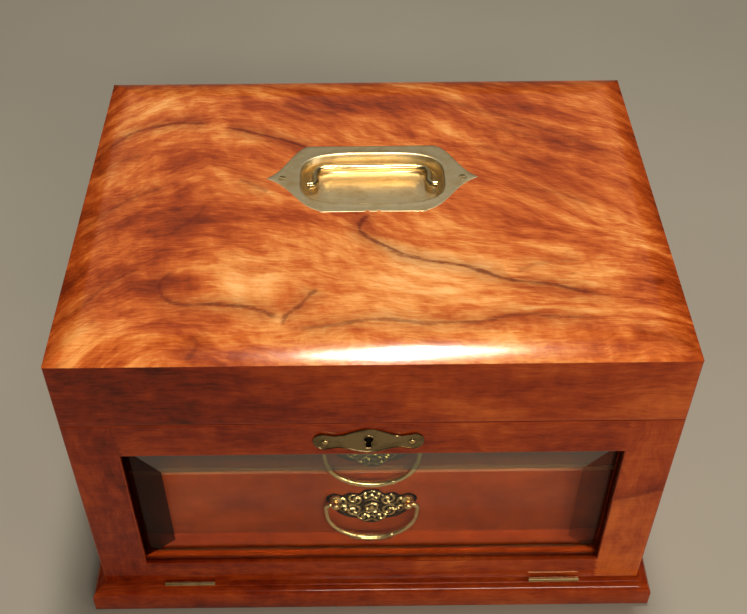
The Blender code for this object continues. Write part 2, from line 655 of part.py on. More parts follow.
def build_flush_handle():
    """Plate and pan pressed as one, with a bail that folds down into it."""
    plate_top = LID_TOP_Z + HANDLE_PROUD
    plate = prism(handle_outline(), plate_top - HANDLE_PLATE, plate_top)
    handle = add("flush_handle_plate", plate, BRASS, LID_AXIS)
    half_x, half_y = PAN_HALF

    def section(shrink, z):
        points = rounded_rectangle(half_x - shrink, half_y - shrink, PAN_CORNER - shrink / 2)
        return [(x + HANDLE_X, y + HANDLE_Y, z) for x, y in points]

    outer_bottom = LID_TOP_Z - PAN_DEPTH - PAN_WALL
    upper_section = section(-PAN_WALL, plate_top - HANDLE_PLATE / 2)
    boolean(handle, stack([section(PAN_DRAFT - PAN_WALL, outer_bottom), upper_section]), "UNION")
    slope = PAN_DRAFT / (plate_top - (LID_TOP_Z - PAN_DEPTH))
    mouth = section(-slope * OVERCUT, plate_top + OVERCUT)
    boolean(handle, stack([section(PAN_DRAFT, LID_TOP_Z - PAN_DEPTH), mouth]))

    pivot_z = LID_TOP_Z - GRIP_DEPTH
    axis = (HANDLE_X, HANDLE_Y, pivot_z)
    stub = half_x - slope * (plate_top - pivot_z) - GRIP_END_GAP
    bend = arc((GRIP_HALF_WIDTH - GRIP_BEND, GRIP_REACH - GRIP_BEND), GRIP_BEND, 0, 90, 6)
    knee = arc((GRIP_HALF_WIDTH + GRIP_KNEE, GRIP_KNEE), GRIP_KNEE, 270, 180, 4)
    right = [(stub, 0)] + knee + bend
    path = right + [(-x, y) for x, y in right[::-1]]
    points = [(x + HANDLE_X, y + HANDLE_Y, pivot_z) for x, y in path]
    tube("flush_handle_bail", points, GRIP_RADIUS, BRASS, axis)


def backplate_outline():
    """A cartouche: wide ears at the posts, a crest above and a shield below."""
    right = [(0, 8), (4, 7.4), (7, 4), (12, 5), (16, 2.4), (20, 4.4), (24.5, 1), (23, -4.5)]
    right += [(18, -6), (19.5, -11), (14, -16.5), (8, -18.5), (4, -21.5), (0, -22.5)]
    right = [(x * MM, z * MM) for x, z in right]
    return right + [(-x, z) for x, z in right[-2:0:-1]]


def build_drawer(label, low_z, height, pivot_z):
    face, back = DRAWER_FACE_Y, DRAWER_BACK_Y
    half = DRAWER_HALF_WIDTH
    inner_y = face + DRAWER_FRONT_THICKNESS
    origin = (0, face, low_z)
    top_z = low_z + height - DRAWER_SIDE_DROP
    front = box((-half, face, low_z), (half, inner_y, low_z + height))
    add(f"{label}_drawer_front", front, WALNUT, origin)
    for side, side_label in ((-1, "left"), (1, "right")):
        edges = sorted((side * half, side * (half - DRAWER_SIDE)))
        low, high = (edges[0], inner_y + GAP, low_z), (edges[1], back, top_z)
        add(f"{label}_drawer_side_{side_label}", box(low, high), MAHOGANY, origin)
    inside = half - DRAWER_SIDE - GAP
    back_board = box((-inside, back - DRAWER_SIDE, low_z), (inside, back, top_z))
    add(f"{label}_drawer_back", back_board, MAHOGANY, origin)
    floor_z = low_z + DRAWER_BOTTOM_RISE
    floor = box(
        (-inside, inner_y + GAP, floor_z),
        (inside, back - DRAWER_SIDE - GAP, floor_z + DRAWER_BOTTOM_THICKNESS),
    )
    add(f"{label}_drawer_bottom", floor, MAHOGANY, origin)
    build_drawer_handle(label, origin, pivot_z)


def build_drawer_handle(label, origin, pivot_z):
    """Backplate with two posts, and the bail that hangs between them."""
    face = DRAWER_FACE_Y
    plate_back = face - GAP
    plate_front = plate_back - BACKPLATE_THICKNESS
    plate = prism(at(backplate_outline(), 0, pivot_z), plate_front, plate_back, "Y")
    handle = add(f"{label}_drawer_backplate", plate, BRASS, origin)
    for side in (-1, 1):
        start = (side * POST_X, plate_front + BACKPLATE_THICKNESS / 2, pivot_z)
        end = (side * POST_X, plate_front - POST_LENGTH, pivot_z)
        boolean(handle, rod(start, end, POST_RADIUS, 12), "UNION")
    bail_y = face - BAIL_STAND
    steps = 18
    bend_x = BAIL_HALF_WIDTH - BAIL_BEND
    stub = [(POST_X + POST_RADIUS + GAP, bail_y, pivot_z)]
    stub += [(x, bail_y, z) for x, z in arc((bend_x, pivot_z - BAIL_BEND), BAIL_BEND, 90, 0, 4)]
    loop = []
    for i in range(steps + 1):
        turn = math.pi * i / steps
        z = pivot_z - BAIL_STRAIGHT - (BAIL_DROP - BAIL_STRAIGHT) * math.sin(turn) ** 0.85
        loop.append((BAIL_HALF_WIDTH * math.cos(turn), bail_y, z))
    points = stub + loop + [(-x, y, z) for x, y, z in stub[::-1]]
    tube(f"{label}_drawer_bail", points, BAIL_RADIUS, BRASS, (0, bail_y, pivot_z))


build_plinth()
build_case()
build_hinges()
build_front()
build_lock()
build_lid()
build_flush_handle()
build_drawer("lower", LOWER_DRAWER_Z, LOWER_DRAWER_HEIGHT, LOWER_PIVOT_Z)
build_drawer("upper", UPPER_DRAWER_Z, UPPER_DRAWER_HEIGHT, UPPER_PIVOT_Z)
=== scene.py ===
"""Looks of a glazed fall-front casket: figured walnut veneer, brass fittings, bevelled glass, velvet linings.

Metres throughout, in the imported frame: +X right, +Y back, +Z up. Sizes written times MM are millimetres.
"""

import math

import bmesh
import bpy
import numpy as np
from mathutils import Matrix, Vector


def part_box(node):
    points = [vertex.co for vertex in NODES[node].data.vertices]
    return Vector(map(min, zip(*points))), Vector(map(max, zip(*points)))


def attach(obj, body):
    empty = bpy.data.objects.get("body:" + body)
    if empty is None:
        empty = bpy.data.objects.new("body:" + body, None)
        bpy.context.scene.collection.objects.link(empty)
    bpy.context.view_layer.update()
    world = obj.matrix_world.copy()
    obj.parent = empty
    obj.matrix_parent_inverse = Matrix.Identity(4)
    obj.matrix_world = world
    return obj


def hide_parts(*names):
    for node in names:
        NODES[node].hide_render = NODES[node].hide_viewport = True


MM = 0.001
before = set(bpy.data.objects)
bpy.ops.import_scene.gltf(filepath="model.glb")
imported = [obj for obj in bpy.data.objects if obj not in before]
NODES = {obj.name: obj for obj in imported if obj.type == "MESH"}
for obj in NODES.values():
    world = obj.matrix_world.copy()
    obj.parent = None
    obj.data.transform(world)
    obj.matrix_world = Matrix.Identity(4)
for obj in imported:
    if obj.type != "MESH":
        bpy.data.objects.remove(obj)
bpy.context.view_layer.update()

# ---------------------------------------------------------------- camera

CAMERA_PLACE = (-7.7 * MM, -453.6 * MM, 571.3 * MM)
CAMERA_PITCH = math.radians(44.76)  # below the horizon
CAMERA_YAW = math.radians(-0.258)
CAMERA_ROLL = math.radians(-0.407)
CAMERA_LENS = 53.78
CAMERA_SHIFT = 0.0194


def make_camera():
    data = bpy.data.cameras.new("view_camera")
    camera = bpy.data.objects.new("view_camera", data)
    bpy.context.scene.collection.objects.link(camera)
    cp, sp = math.cos(CAMERA_PITCH), math.sin(CAMERA_PITCH)
    cy, sy = math.cos(CAMERA_YAW), math.sin(CAMERA_YAW)
    cr, sr = math.cos(CAMERA_ROLL), math.sin(CAMERA_ROLL)
    right = Vector((cy, sy, 0))
    ahead = Vector((-sy * cp, cy * cp, -sp))
    up = Vector((-sy * sp, cy * sp, cp))
    across, above = cr * right + sr * up, cr * up - sr * right
    turn = Matrix((across, above, -ahead)).transposed()
    camera.matrix_world = Matrix.Translation(CAMERA_PLACE) @ turn.to_4x4()
    data.lens = CAMERA_LENS
    data.sensor_width = 36
    data.shift_x = CAMERA_SHIFT
    data.clip_start, data.clip_end = 0.01, 20
    bpy.context.scene.camera = camera


make_camera()

# ---------------------------------------------------------------- measures, all read from the frame


def span(node):
    """Lowest and highest corner of a CAD node as two arrays."""
    low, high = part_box(node)
    return np.array(low), np.array(high)


LID_BOTTOM = span("lid_front_rail")[0][2]
_, TOP_HIGH = span("lid_top")
HALF_X, HALF_Y, CROWN_TOP = TOP_HIGH
CROWN_RISE = 5 * MM
CROWN_ROLL = 24 * MM
ARRIS = CROWN_TOP - CROWN_RISE
SIDE_LOW, SIDE_HIGH = span("side_right")
DOOR_LOW, DOOR_HIGH = span("front_stile_right")
FACE_Y = DOOR_LOW[1]
WINDOW_X = DOOR_LOW[0]
WINDOW_TOP = span("front_top_rail")[0][2]
WINDOW_BOTTOM = span("front_bottom_rail")[1][2]
PLATE_LOW, PLATE_HIGH = span("flush_handle_plate")
HANDLE_X, HANDLE_Y = ((PLATE_LOW + PLATE_HIGH) / 2)[:2]
PLATE_TOP = PLATE_HIGH[2]
PAN_X, PAN_Y = 38.5 * MM, 21.5 * MM  # half of the handle's pan at its mouth
VENEER = 0.22 * MM

# ---------------------------------------------------------------- mesh helpers


def grid_mesh(name, points, closed_u=False, closed_v=False, caps=False, sharp=35, out_from=None):
    """A surface through points[u, v], shape (U, V, 3). closed_u and closed_v join the last row to the first.

    caps closes each end in u by one polygon. Faces are turned outward, or an open sheet's away from out_from.
    """
    count_u, count_v = points.shape[:2]
    index = np.arange(count_u * count_v).reshape(count_u, count_v)
    if closed_u:
        index = np.vstack([index, index[:1]])
    if closed_v:
        index = np.hstack([index, index[:, :1]])
    quads = np.stack([index[:-1, :-1], index[1:, :-1], index[1:, 1:], index[:-1, 1:]], axis=-1)
    faces = quads.reshape(-1, 4).tolist()
    if caps:
        faces.append(index[0, :count_v].tolist()[::-1])
        faces.append(index[count_u - 1, :count_v].tolist())
    mesh = bpy.data.meshes.new(name)
    mesh.from_pydata(points.reshape(-1, 3), [], faces)
    mesh.update()
    turn_outward(mesh, out_from)
    mesh.shade_smooth()
    mesh.set_sharp_from_angle(angle=math.radians(sharp))
    piece = bpy.data.objects.new(name, mesh)
    bpy.context.scene.collection.objects.link(piece)
    return piece


def turn_outward(mesh, out_from):
    """Makes the faces agree, then turns an open sheet away from a point."""
    bm = bmesh.new()
    bm.from_mesh(mesh)
    bmesh.ops.recalc_face_normals(bm, faces=bm.faces)
    if out_from is not None:
        centre = Vector(out_from)
        outward = sum(f.normal.dot(f.calc_center_median() - centre) * f.calc_area() for f in bm.faces)
        if outward < 0:
            bmesh.ops.reverse_faces(bm, faces=bm.faces)
    bm.to_mesh(mesh)
    bm.free()


def finish_piece(piece, body, material, replaced=()):
    """Gives a piece its finish, body and slot, and hides the CAD nodes that it stands for."""
    piece.data.materials.clear()
    piece.data.materials.append(material)
    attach(piece, body)
    if replaced:
        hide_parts(*replaced)
    return piece


def set_vectors(piece, name, *columns):
    """A vector attribute on the points, from three columns of numbers or single numbers."""
    count = len(piece.data.vertices)
    values = np.stack([np.broadcast_to(column, count) for column in columns], 1)
    layer = piece.data.attributes.new(name, "FLOAT_VECTOR", "POINT")
    layer.data.foreach_set("vector", np.ascontiguousarray(values, dtype=np.float32).ravel())


def positions(piece):
    """Places of a piece's points in millimetres, as columns x, y and z."""
    flat = np.empty(len(piece.data.vertices) * 3, np.float32)
    piece.data.vertices.foreach_get("co", flat)
    return flat.reshape(-1, 3).T.astype(float) / MM


def rectangle(per_x, per_y):
    """Points round a square of half size 1 from its front left corner, anticlockwise, one on each corner."""
    u, v = np.linspace(-1, 1, per_x, endpoint=False), np.linspace(-1, 1, per_y, endpoint=False)
    front = np.stack([u, np.full(per_x, -1.0)], 1)
    right = np.stack([np.full(per_y, 1.0), v], 1)
    return np.vstack([front, right, -front, -right])


def run_length(points):
    """Distance of each point along a path of points, in millimetres."""
    return np.concatenate([[0], np.cumsum(np.linalg.norm(np.diff(points, axis=0), axis=1))]) / MM


def smooth_path(points, per_span=10):
    """A Catmull-Rom curve through points."""
    p = np.array(points, float)
    p = np.vstack([2 * p[0] - p[1], p, 2 * p[-1] - p[-2]])
    t = np.linspace(0, 1, per_span, endpoint=False)[:, None]
    spans = []
    for a, b, c, d in zip(p, p[1:], p[2:], p[3:]):
        bend, twist = 2 * a - 5 * b + 4 * c - d, 3 * b - a - 3 * c + d
        spans.append(0.5 * (2 * b + (c - a) * t + bend * t**2 + twist * t**3))
    return np.vstack(spans + [p[-2:-1]])


def at_height(flat, z):
    """Points (x, y) laid level at a height."""
    return np.column_stack([flat, np.full(len(flat), z)])


def at_depth(upright, y):
    """Points (x, z) stood up at a depth."""
    x, z = upright.T
    return np.column_stack([x, np.full(len(x), y), z])


def rounded_corners(half, radius, steps):
    """Points round the four quarter circles of a rectangle's corners, anticlockwise."""
    arcs = []
    for side, top, start in ((1, 1, 0), (-1, 1, 90), (-1, -1, 180), (1, -1, 270)):
        turn = np.radians(np.linspace(start, start + 90, steps))
        centre = np.array([side, top]) * (half - radius)
        arcs.append(centre + radius * np.stack([np.cos(turn), np.sin(turn)], 1))
    return np.vstack(arcs)


def eased_edge(radius, steps):
    """A quarter circle over an edge: (inset from one face, depth below the other) from the first face on."""
    angle = np.linspace(0, math.pi / 2, steps)
    return [(radius * (1 - math.cos(a)), radius * (1 - math.sin(a))) for a in angle]


# ---------------------------------------------------------------- material helpers


def linear(colour):
    """sRGB hex, such as "c8743a", as linear red, green, blue and alpha."""
    parts = [int(colour[i : i + 2], 16) / 255 for i in (0, 2, 4)]
    return (*[c / 12.92 if c <= 0.04045 else ((c + 0.055) / 1.055) ** 2.4 for c in parts], 1)


def add(tree, kind, inputs=None, out=0, **settings):
    """Adds a node and returns one of its outputs.

    inputs maps an input's name or number to a value, or to another node's output.
    """
    made = tree.nodes.new(f"ShaderNode{kind}")
    for key, value in settings.items():
        setattr(made, key, value)
    for key, value in (inputs or {}).items():
        if isinstance(value, bpy.types.NodeSocket):
            tree.links.new(value, made.inputs[key])
        else:
            made.inputs[key].default_value = value
    return made.outputs[out]


def new_material(name):
    """A material with its node tree and its Principled shader."""
    material = bpy.data.materials.new(name)
    material.use_nodes = True
    tree = material.node_tree
    return material, tree, tree.nodes["Principled BSDF"]


def in_millimetres(tree, turn=(0, 0, 0)):
    """Object coordinates in millimetres, turned so that x runs along the grain."""
    place = add(tree, "TexCoord", out="Object")
    return add(tree, "Mapping", {0: place, "Rotation": turn, "Scale": (1 / MM, 1 / MM, 1 / MM)})


def layered(tree, place, layers, start=0.0):
    """A sum of noises. Each layer is its size in millimetres (x, y, z), its detail and its height."""
    total = start
    for size, detail, height in layers:
        spread = add(tree, "VectorMath", {0: place, 1: [1 / s for s in size]}, operation="MULTIPLY")
        pattern = add(tree, "TexNoise", {"Vector": spread, "Scale": 1.0, "Detail": detail, "Roughness": 0.6})
        centred = add(tree, "Math", {0: pattern, 1: height, 2: -height / 2}, operation="MULTIPLY_ADD")
        total = add(tree, "Math", {0: total, 1: centred}, operation="ADD")
    return total


def graded(tree, level, stops):
    """A colour that passes through the stops, each a level and an sRGB colour, as the level rises."""
    colour = linear(stops[0][1])
    for (low, _), (high, tint) in zip(stops, stops[1:]):
        share = add(tree, "MapRange", {0: level, 1: low, 2: high})
        colour = add(tree, "Mix", {0: share, 6: colour, 7: linear(tint)}, out=2, data_type="RGBA")
    return colour


def connect(tree, shader, **links):
    """Joins outputs to a shader's inputs, Base_Color standing for Base Color."""
    for name, output in links.items():
        tree.links.new(output, shader.inputs[name.replace("_", " ")])


# ---------------------------------------------------------------- materials


def figured_walnut(name, stops, veneer, spread=1.0, gloss=0.15, shine=0.5, coat=0.3):
    """Crotch and burr walnut under French polish, that is shellac rubbed to a glassy skin.

    The eye sees cloudy patches 40 mm long, feathery streaks a few millimetres wide, thin dark heart veins
    with a brown halo, and hair-fine pores. A veneer sheet brings its own grain: the attribute grain holds
    the distance along, the distance across and the distance to the nearest vein, all in millimetres, and
    the attribute figure_and_shade the tone, a number for the sheet, and the strength of that vein. On the
    lid's sides, the plinth and the fall front the tone also carries painted shade and light, darker at the
    left and lighter at the right. A solid board takes its place in the board, whose grain runs along x.
    """
    material, tree, shader = new_material(name)
    board = in_millimetres(tree)
    if veneer:
        grain = add(tree, "Attribute", out="Vector", attribute_name="grain")
        figure_and_shade = add(tree, "Attribute", out="Vector", attribute_name="figure_and_shade")
        along, across, vein = add(tree, "SeparateXYZ", {0: grain}).node.outputs
        tone, sheet, strength = add(tree, "SeparateXYZ", {0: figure_and_shade}).node.outputs
        flat = add(tree, "CombineXYZ", {0: along, 1: across, 2: sheet})
    else:
        flat, tone = board, 0.0
    # The lines wander: 8 mm in 55 mm, and 3 mm in 14 mm.
    wander = layered(tree, flat, [((55, 45, 50), 2, 16), ((14, 11, 20), 2, 6)])
    shift = add(tree, "CombineXYZ", {1: wander})
    wood = add(tree, "VectorMath", {0: flat, 1: shift}, operation="ADD")
    figure_layers = [
        ((70, 26, 30), 2, 1.0 * spread),
        ((24, 8, 20), 3, 0.65 * spread),
        ((12, 1.7, 8), 2, 0.40 * spread),
        ((8, 12, 20), 3, 0.50 * spread),
    ]
    level = layered(tree, wood, figure_layers, tone)
    level = layered(tree, board, [((12, 0.9, 0.9), 2, 0.32 * spread)], level)
    level = add(tree, "Math", {0: level, 1: 0.5}, operation="ADD")
    colour = graded(tree, level, stops)
    # Own dark veins, where a slow noise along the grain passes its middle value.
    thread = layered(tree, wood, [((120, 11, 30), 2, 1.0)])
    thread = add(tree, "Math", {0: thread}, operation="ABSOLUTE")
    rare = layered(tree, wood, [((60, 30, 30), 1, 2.2)], 0.1)
    smooth = "SMOOTHSTEP"
    own = add(tree, "MapRange", {0: thread, 1: 0.0, 2: 0.016, 3: 0.5, 4: 0.0}, interpolation_type=smooth)
    own = add(tree, "Math", {0: own, 1: rare}, operation="MULTIPLY", use_clamp=True)
    if veneer:
        frayed = layered(tree, flat, [((9, 5, 20), 2, 3.4), ((2.5, 1.2, 5), 1, 1.4)], vein)
        core = add(tree, "MapRange", {0: frayed, 1: 0, 2: 2.8, 3: 0.9, 4: 0}, interpolation_type=smooth)
        halo = add(tree, "MapRange", {0: frayed, 1: 0, 2: 11, 3: 0.4, 4: 0}, interpolation_type=smooth)
        both = add(tree, "Math", {0: core, 1: halo}, operation="MAXIMUM")
        both = add(tree, "Math", {0: both, 1: strength}, operation="MULTIPLY")
        own = add(tree, "Math", {0: own, 1: both}, operation="MAXIMUM")
    colour = add(tree, "Mix", {0: own, 6: colour, 7: linear("5e1a04")}, out=2, data_type="RGBA")
    # Pores filled with dark polish, 5 mm long and a third of a millimetre wide.
    pores = layered(tree, board, [((5, 0.33, 0.33), 1, 1.0)], 0.5)
    dashes = add(tree, "MapRange", {0: pores, 1: 0.28, 2: 0.40, 3: 0.78, 4: 1.0})
    colour = add(tree, "VectorMath", {0: colour, 1: dashes}, operation="MULTIPLY")
    rough = layered(tree, wood, [((9, 1.6, 5), 2, 0.08)], gloss)
    # The polish lies in very shallow waves 4 mm across and sinks a little into the grain.
    relief = layered(tree, board, [((4, 4, 4), 1, 1.4), ((8, 0.7, 0.7), 1, 0.5)])
    skin = add(tree, "Bump", {"Height": relief, "Distance": 0.016 * MM, "Strength": 1.0})
    connect(tree, shader, Base_Color=colour, Roughness=rough, Normal=skin)
    shader.inputs["IOR"].default_value = 1.5
    shader.inputs["Specular IOR Level"].default_value = shine
    shader.inputs["Coat Weight"].default_value = coat
    shader.inputs["Coat Roughness"].default_value = 0.05
    return material


def waxed_timber(name, light, dark, turn=(0, 0, 0)):
    """Straight-grained mahogany, planed and waxed: soft stripes along the board and open pores."""
    material, tree, shader = new_material(name)
    board = in_millimetres(tree, turn)
    level = layered(tree, board, [((120, 5, 5), 3, 1.0), ((14, 0.7, 0.7), 2, 0.5)], 0.5)
    rough = layered(tree, board, [((14, 0.7, 0.7), 2, 0.2)], 0.5)
    pores = layered(tree, board, [((6, 0.5, 0.5), 1, 1.0)])
    skin = add(tree, "Bump", {"Height": pores, "Distance": 0.06 * MM, "Strength": 1.0})
    tint = graded(tree, level, ((0.2, dark), (0.8, light)))
    connect(tree, shader, Base_Color=tint, Roughness=rough, Normal=skin)
    return material


def rubbed_brass(name, colour, tarnish, roughness, relief=False):
    """Brass, cast or rolled, buffed and lacquered: wandering rub marks, brown tarnish in clouds.

    A chased casting brings the height of its relief, 0 to 1, as the attribute relief, and its hollows are
    nearly black with old lacquer and polish.
    """
    material, tree, shader = new_material(name)
    place = in_millimetres(tree)
    clouds = layered(tree, place, [((9, 7, 7), 3, 1.0)], 0.55)
    tint = graded(tree, clouds, ((0.25, tarnish), (0.6, colour)))
    if relief:
        height = add(tree, "Attribute", out="Fac", attribute_name="relief")
        hollow = add(tree, "MapRange", {0: height, 1: 0.12, 2: 0.62, 3: 1.0, 4: 0.0})
        tint = add(tree, "Mix", {0: hollow, 6: tint, 7: linear("2c1a0c")}, out=2, data_type="RGBA")
    rough = layered(tree, place, [((9, 7, 7), 2, -0.10), ((4, 0.3, 0.3), 2, 0.10)], roughness)
    marks = layered(tree, place, [((5, 0.35, 0.35), 2, 1.0)])
    skin = add(tree, "Bump", {"Height": marks, "Distance": 0.008 * MM, "Strength": 1.0})
    connect(tree, shader, Base_Color=tint, Roughness=rough, Normal=skin)
    shader.inputs["Metallic"].default_value = 1.0
    return material


def filed_steel(name):
    """Lock steel, draw-filed along its length: fine parallel scores and a few rust freckles."""
    material, tree, shader = new_material(name)
    place = in_millimetres(tree)
    freckles = layered(tree, place, [((2, 2, 2), 3, 1.0)], 0.5)
    scores = layered(tree, place, [((5, 0.25, 0.25), 2, 1.0)])
    rough = layered(tree, place, [((5, 0.25, 0.25), 2, 0.25)], 0.38)
    skin = add(tree, "Bump", {"Height": scores, "Distance": 0.02 * MM, "Strength": 1.0})
    tint = graded(tree, freckles, ((0.58, "8d8a85"), (0.7, "5a3a26")))
    connect(tree, shader, Base_Color=tint, Roughness=rough, Normal=skin)
    shader.inputs["Metallic"].default_value = 1.0
    return material


def plate_glass(name, stops, mirror):
    """Polished plate glass that lamps shine through; its tint changes along x, by the stops in millimetres.
    On the bevels the tint is painted: shade at the sides, and the room's reflection on the upward one.

    The index is low, so that the pane mirrors little of the floor. mirror is the weight of a bright coat.
    """
    material, tree, shader = new_material(name)
    place = add(tree, "SeparateXYZ", {0: in_millimetres(tree)}).node.outputs
    tint = graded(tree, place[0], stops)
    connect(tree, shader, Base_Color=tint)
    shader.inputs["Transmission Weight"].default_value = 1.0
    shader.inputs["Roughness"].default_value = 0.0
    shader.inputs["IOR"].default_value = 1.2
    shader.inputs["Coat Weight"].default_value = mirror
    shader.inputs["Coat IOR"].default_value = 2.0
    clear = add(tree, "BsdfTransparent", {0: tint})
    lit = add(tree, "LightPath", out="Is Shadow Ray")
    either = add(tree, "MixShader", {0: lit, 1: shader.outputs[0], 2: clear})
    tree.links.new(either, tree.nodes["Material Output"].inputs["Surface"])
    return material


def cotton_velvet(name, colour, shadow):
    """Short cut pile: dark face on, bright at a low angle, with a crushed and mottled nap."""
    material, tree, shader = new_material(name)
    place = in_millimetres(tree)
    level = layered(tree, place, [((17, 12, 12), 3, 1.0), ((0.45, 0.45, 0.45), 2, 0.5)], 0.5)
    pile = layered(tree, place, [((0.45, 0.45, 0.45), 2, 1.0)])
    skin = add(tree, "Bump", {"Height": pile, "Distance": 0.25 * MM, "Strength": 1.0})
    connect(tree, shader, Base_Color=graded(tree, level, ((0.2, shadow), (0.85, colour))), Normal=skin)
    shader.inputs["Roughness"].default_value = 0.95
    shader.inputs["Sheen Weight"].default_value = 0.7
    shader.inputs["Sheen Roughness"].default_value = 0.35
    shader.inputs["Sheen Tint"].default_value = linear(colour)
    return material


TOP_STOPS = ((0.0, "6a2408"), (0.28, "a04212"), (0.5, "c66629"), (0.72, "e4964e"), (1.0, "fac07c"))
SIDE_STOPS = ((0.0, "420f02"), (0.3, "792408"), (0.6, "9c3c10"), (1.0, "c46024"))
DRAWER_STOPS = ((0.0, "3a1003"), (0.35, "6a250b"), (0.65, "843612"), (1.0, "a04f22"))
CROSSWISE = (0, 0, math.pi / 2)

TOP_WALNUT = figured_walnut("french_polished_crotch_walnut", TOP_STOPS, True)
FACE_WALNUT = figured_walnut(
    "french_polished_walnut", SIDE_STOPS, True, spread=0.9, gloss=0.13, shine=0.15, coat=0.2
)
BOARD_WALNUT = figured_walnut("solid_walnut", SIDE_STOPS, False, spread=0.5, gloss=0.25, coat=0.1)
DRAWER_WALNUT = figured_walnut("drawer_walnut", DRAWER_STOPS, False, 0.6, gloss=0.2, shine=0.2, coat=0.05)
MAHOGANY = waxed_timber("waxed_mahogany", "a5683f", "6d3a1f")
MAHOGANY_ACROSS = waxed_timber("waxed_mahogany_front_to_back", "a5683f", "6d3a1f", CROSSWISE)
PRESSED_BRASS = rubbed_brass("pressed_satin_brass", "f0dfb4", "cdb27c", 0.36)
GRIP_BRASS = rubbed_brass("polished_brass", "eed59c", "b9965a", 0.2)
CAST_BRASS = rubbed_brass("chased_cast_brass", "e6cf96", "8a6c3a", 0.24, relief=True)
LOCK_BRASS = rubbed_brass("old_lacquered_brass", "94805a", "5a4a30", 0.24)
HINGE_BRASS = rubbed_brass("drawn_brass", "e8cd95", "b09059", 0.22)
STEEL = filed_steel("draw_filed_steel")
CLEAR_GLASS = plate_glass("clear_plate_glass", ((-125, "f9fbf7"), (125, "f9fbf7")), 0.0)
# The upward bevel's green-grey tint is painted reflection of the room; the side bevels' tint is painted
# shade, dark at the left and paler at the right.
TOP_BEVEL_PAINTED_REFLECTION = plate_glass("upward_bevel_painted_reflection", ((-125, "5c6a40"), (125, "6c7a50")), 1.0)
SIDE_BEVEL_PAINTED_SHADE = plate_glass("side_bevel_painted_shade", ((-105, "37281c"), (105, "ab9c8c")), 0.0)
# Near black brass for the disc behind the keyhole: painted shade.
KEYHOLE_SHADE_BRASS = rubbed_brass("painted_keyhole_shade", "1c140c", "0e0a06", 0.5)
VELVET = cotton_velvet("crimson_cotton_velvet", "7a1526", "3a0610")

# ---------------------------------------------------------------- figure of the veneers, and painted shade in their tone

# Heart veins in the top sheet, in millimetres from the middle of the lid: points along each vein, and how
# strong it is.
TOP_VEINS = (
    (((-149, 44), (-134, 55), (-120, 63), (-104, 68), (-88, 66)), 0.9),
    (((-80, 62), (-66, 58), (-52, 53), (-40, 47), (-31, 42)), 1.0),
    (((25, 91), (50, 84), (70, 74), (90, 63), (110, 51), (138, 30)), 0.55),
    (
        ((2, -13), (-4, -20), (-5, -27), (8, -39), (24, -48), (45, -54), (68, -63), (95, -71), (120, -77)),
        0.95,
    ),
    (((-41, -95), (-18, -93), (0, -90), (26, -92), (50, -91), (80, -88), (112, -91)), 0.75),
    (((-96, -54), (-101, -62), (-100, -72), (-92, -78), (-78, -79), (-60, -80), (-50, -84), (-42, -90)), 0.9),
    (((-26, -68), (-30, -74), (-34, -81), (-39, -86), (-41, -94)), 0.8),
    (((-149, -21), (-134, -8), (-118, 4), (-106, 11)), 0.6),
    (((-147, -33), (-130, -20), (-116, -9)), 0.4),
    (((-149, -88), (-136, -76), (-124, -62), (-112, -52)), 0.6),
    (((-147, 22), (-132, 34), (-122, 38)), 0.6),
    (((-84, -4), (-88, -14), (-96, -22), (-101, -28)), 0.6),
    (((-70, 16), (-60, 10), (-52, 6)), 0.6),
    (((66, 62), (84, 55), (104, 44), (124, 36)), 0.45),
    (((58, 44), (80, 34), (100, 24)), 0.4),
    (((76, 8), (96, 2), (116, -8)), 0.45),
    (((-50, 84), (-34, 79), (-14, 76)), 0.6),
    (((-86, -112), (-80, -104), (-84, -98)), 0.6),
    (((70, -58), (84, -52), (104, -49)), 0.4),
    (((120, -96), (136, -102), (149, -108)), 0.5),
)

# Lighter and darker clouds of the top sheet: middle, half widths and height of each.
TOP_CLOUDS = (
    (25, -62, 58, 26, 0.32),
    (-58, -66, 30, 15, 0.24),
    (-40, -100, 90, 10, 0.16),
    (-118, -100, 22, 14, 0.20),
    (118, -30, 30, 26, 0.12),
    (122, 88, 26, 16, 0.16),
    (-130, 20, 16, 22, 0.14),
    (-125, 84, 26, 18, 0.10),
    (-70, 52, 22, 10, 0.10),
    (-10, 84, 55, 16, -0.34),
    (-88, -14, 30, 24, -0.12),
    (-96, -66, 17, 9, -0.26),
    (-28, -12, 26, 10, -0.16),
    (-100, 70, 40, 6, -0.14),
    (70, 78, 34, 10, -0.10),
    (92, 20, 34, 16, -0.10),
    (136, -66, 14, 16, -0.26),
    (-132, -60, 20, 12, -0.18),
    (105, 10, 45, 62, -0.20),
    (-110, -8, 42, 58, -0.20),
    (-95, -100, 42, 16, -0.26),
    (112, 92, 34, 24, -0.14),
)


def ripple(x, y, seed, wavelength, size):
    """Smooth wandering: a sum of eight sine waves in random directions."""
    rng = np.random.default_rng(seed)
    total = np.zeros_like(x)
    for _ in range(8):
        angle, phase = rng.uniform(0, 2 * math.pi, 2)
        k = 2 * math.pi / (wavelength * rng.uniform(0.7, 1.6))
        total += np.sin(k * (x * math.cos(angle) + y * math.sin(angle)) + phase)
    return total * size / 4


def nearest_vein(x, y, veins):
    """Distance of each point from the nearest vein in millimetres, and that vein's strength there.

    A vein fades over its last tenth at each end.
    """
    here = np.stack([x + ripple(x, y, 5, 26, 1.0), y + ripple(x, y, 6, 26, 1.0)], 1)
    nearest = np.full(len(x), 60.0)
    strength = np.zeros(len(x))
    for points, dark in veins:
        path = smooth_path(points, 6)
        for i, (a, b) in enumerate(zip(path, path[1:])):
            step = b - a
            t = np.clip(((here - a) @ step) / (step @ step), 0, 1)
            away = np.linalg.norm(here - a - t[:, None] * step, axis=1)
            share = (i + t) / (len(path) - 1)
            fade = np.clip(np.minimum(share, 1 - share) * 10, 0.15, 1)
            nearer = away < nearest
            nearest[nearer] = away[nearer]
            strength[nearer] = (dark * fade)[nearer]
    return nearest, strength


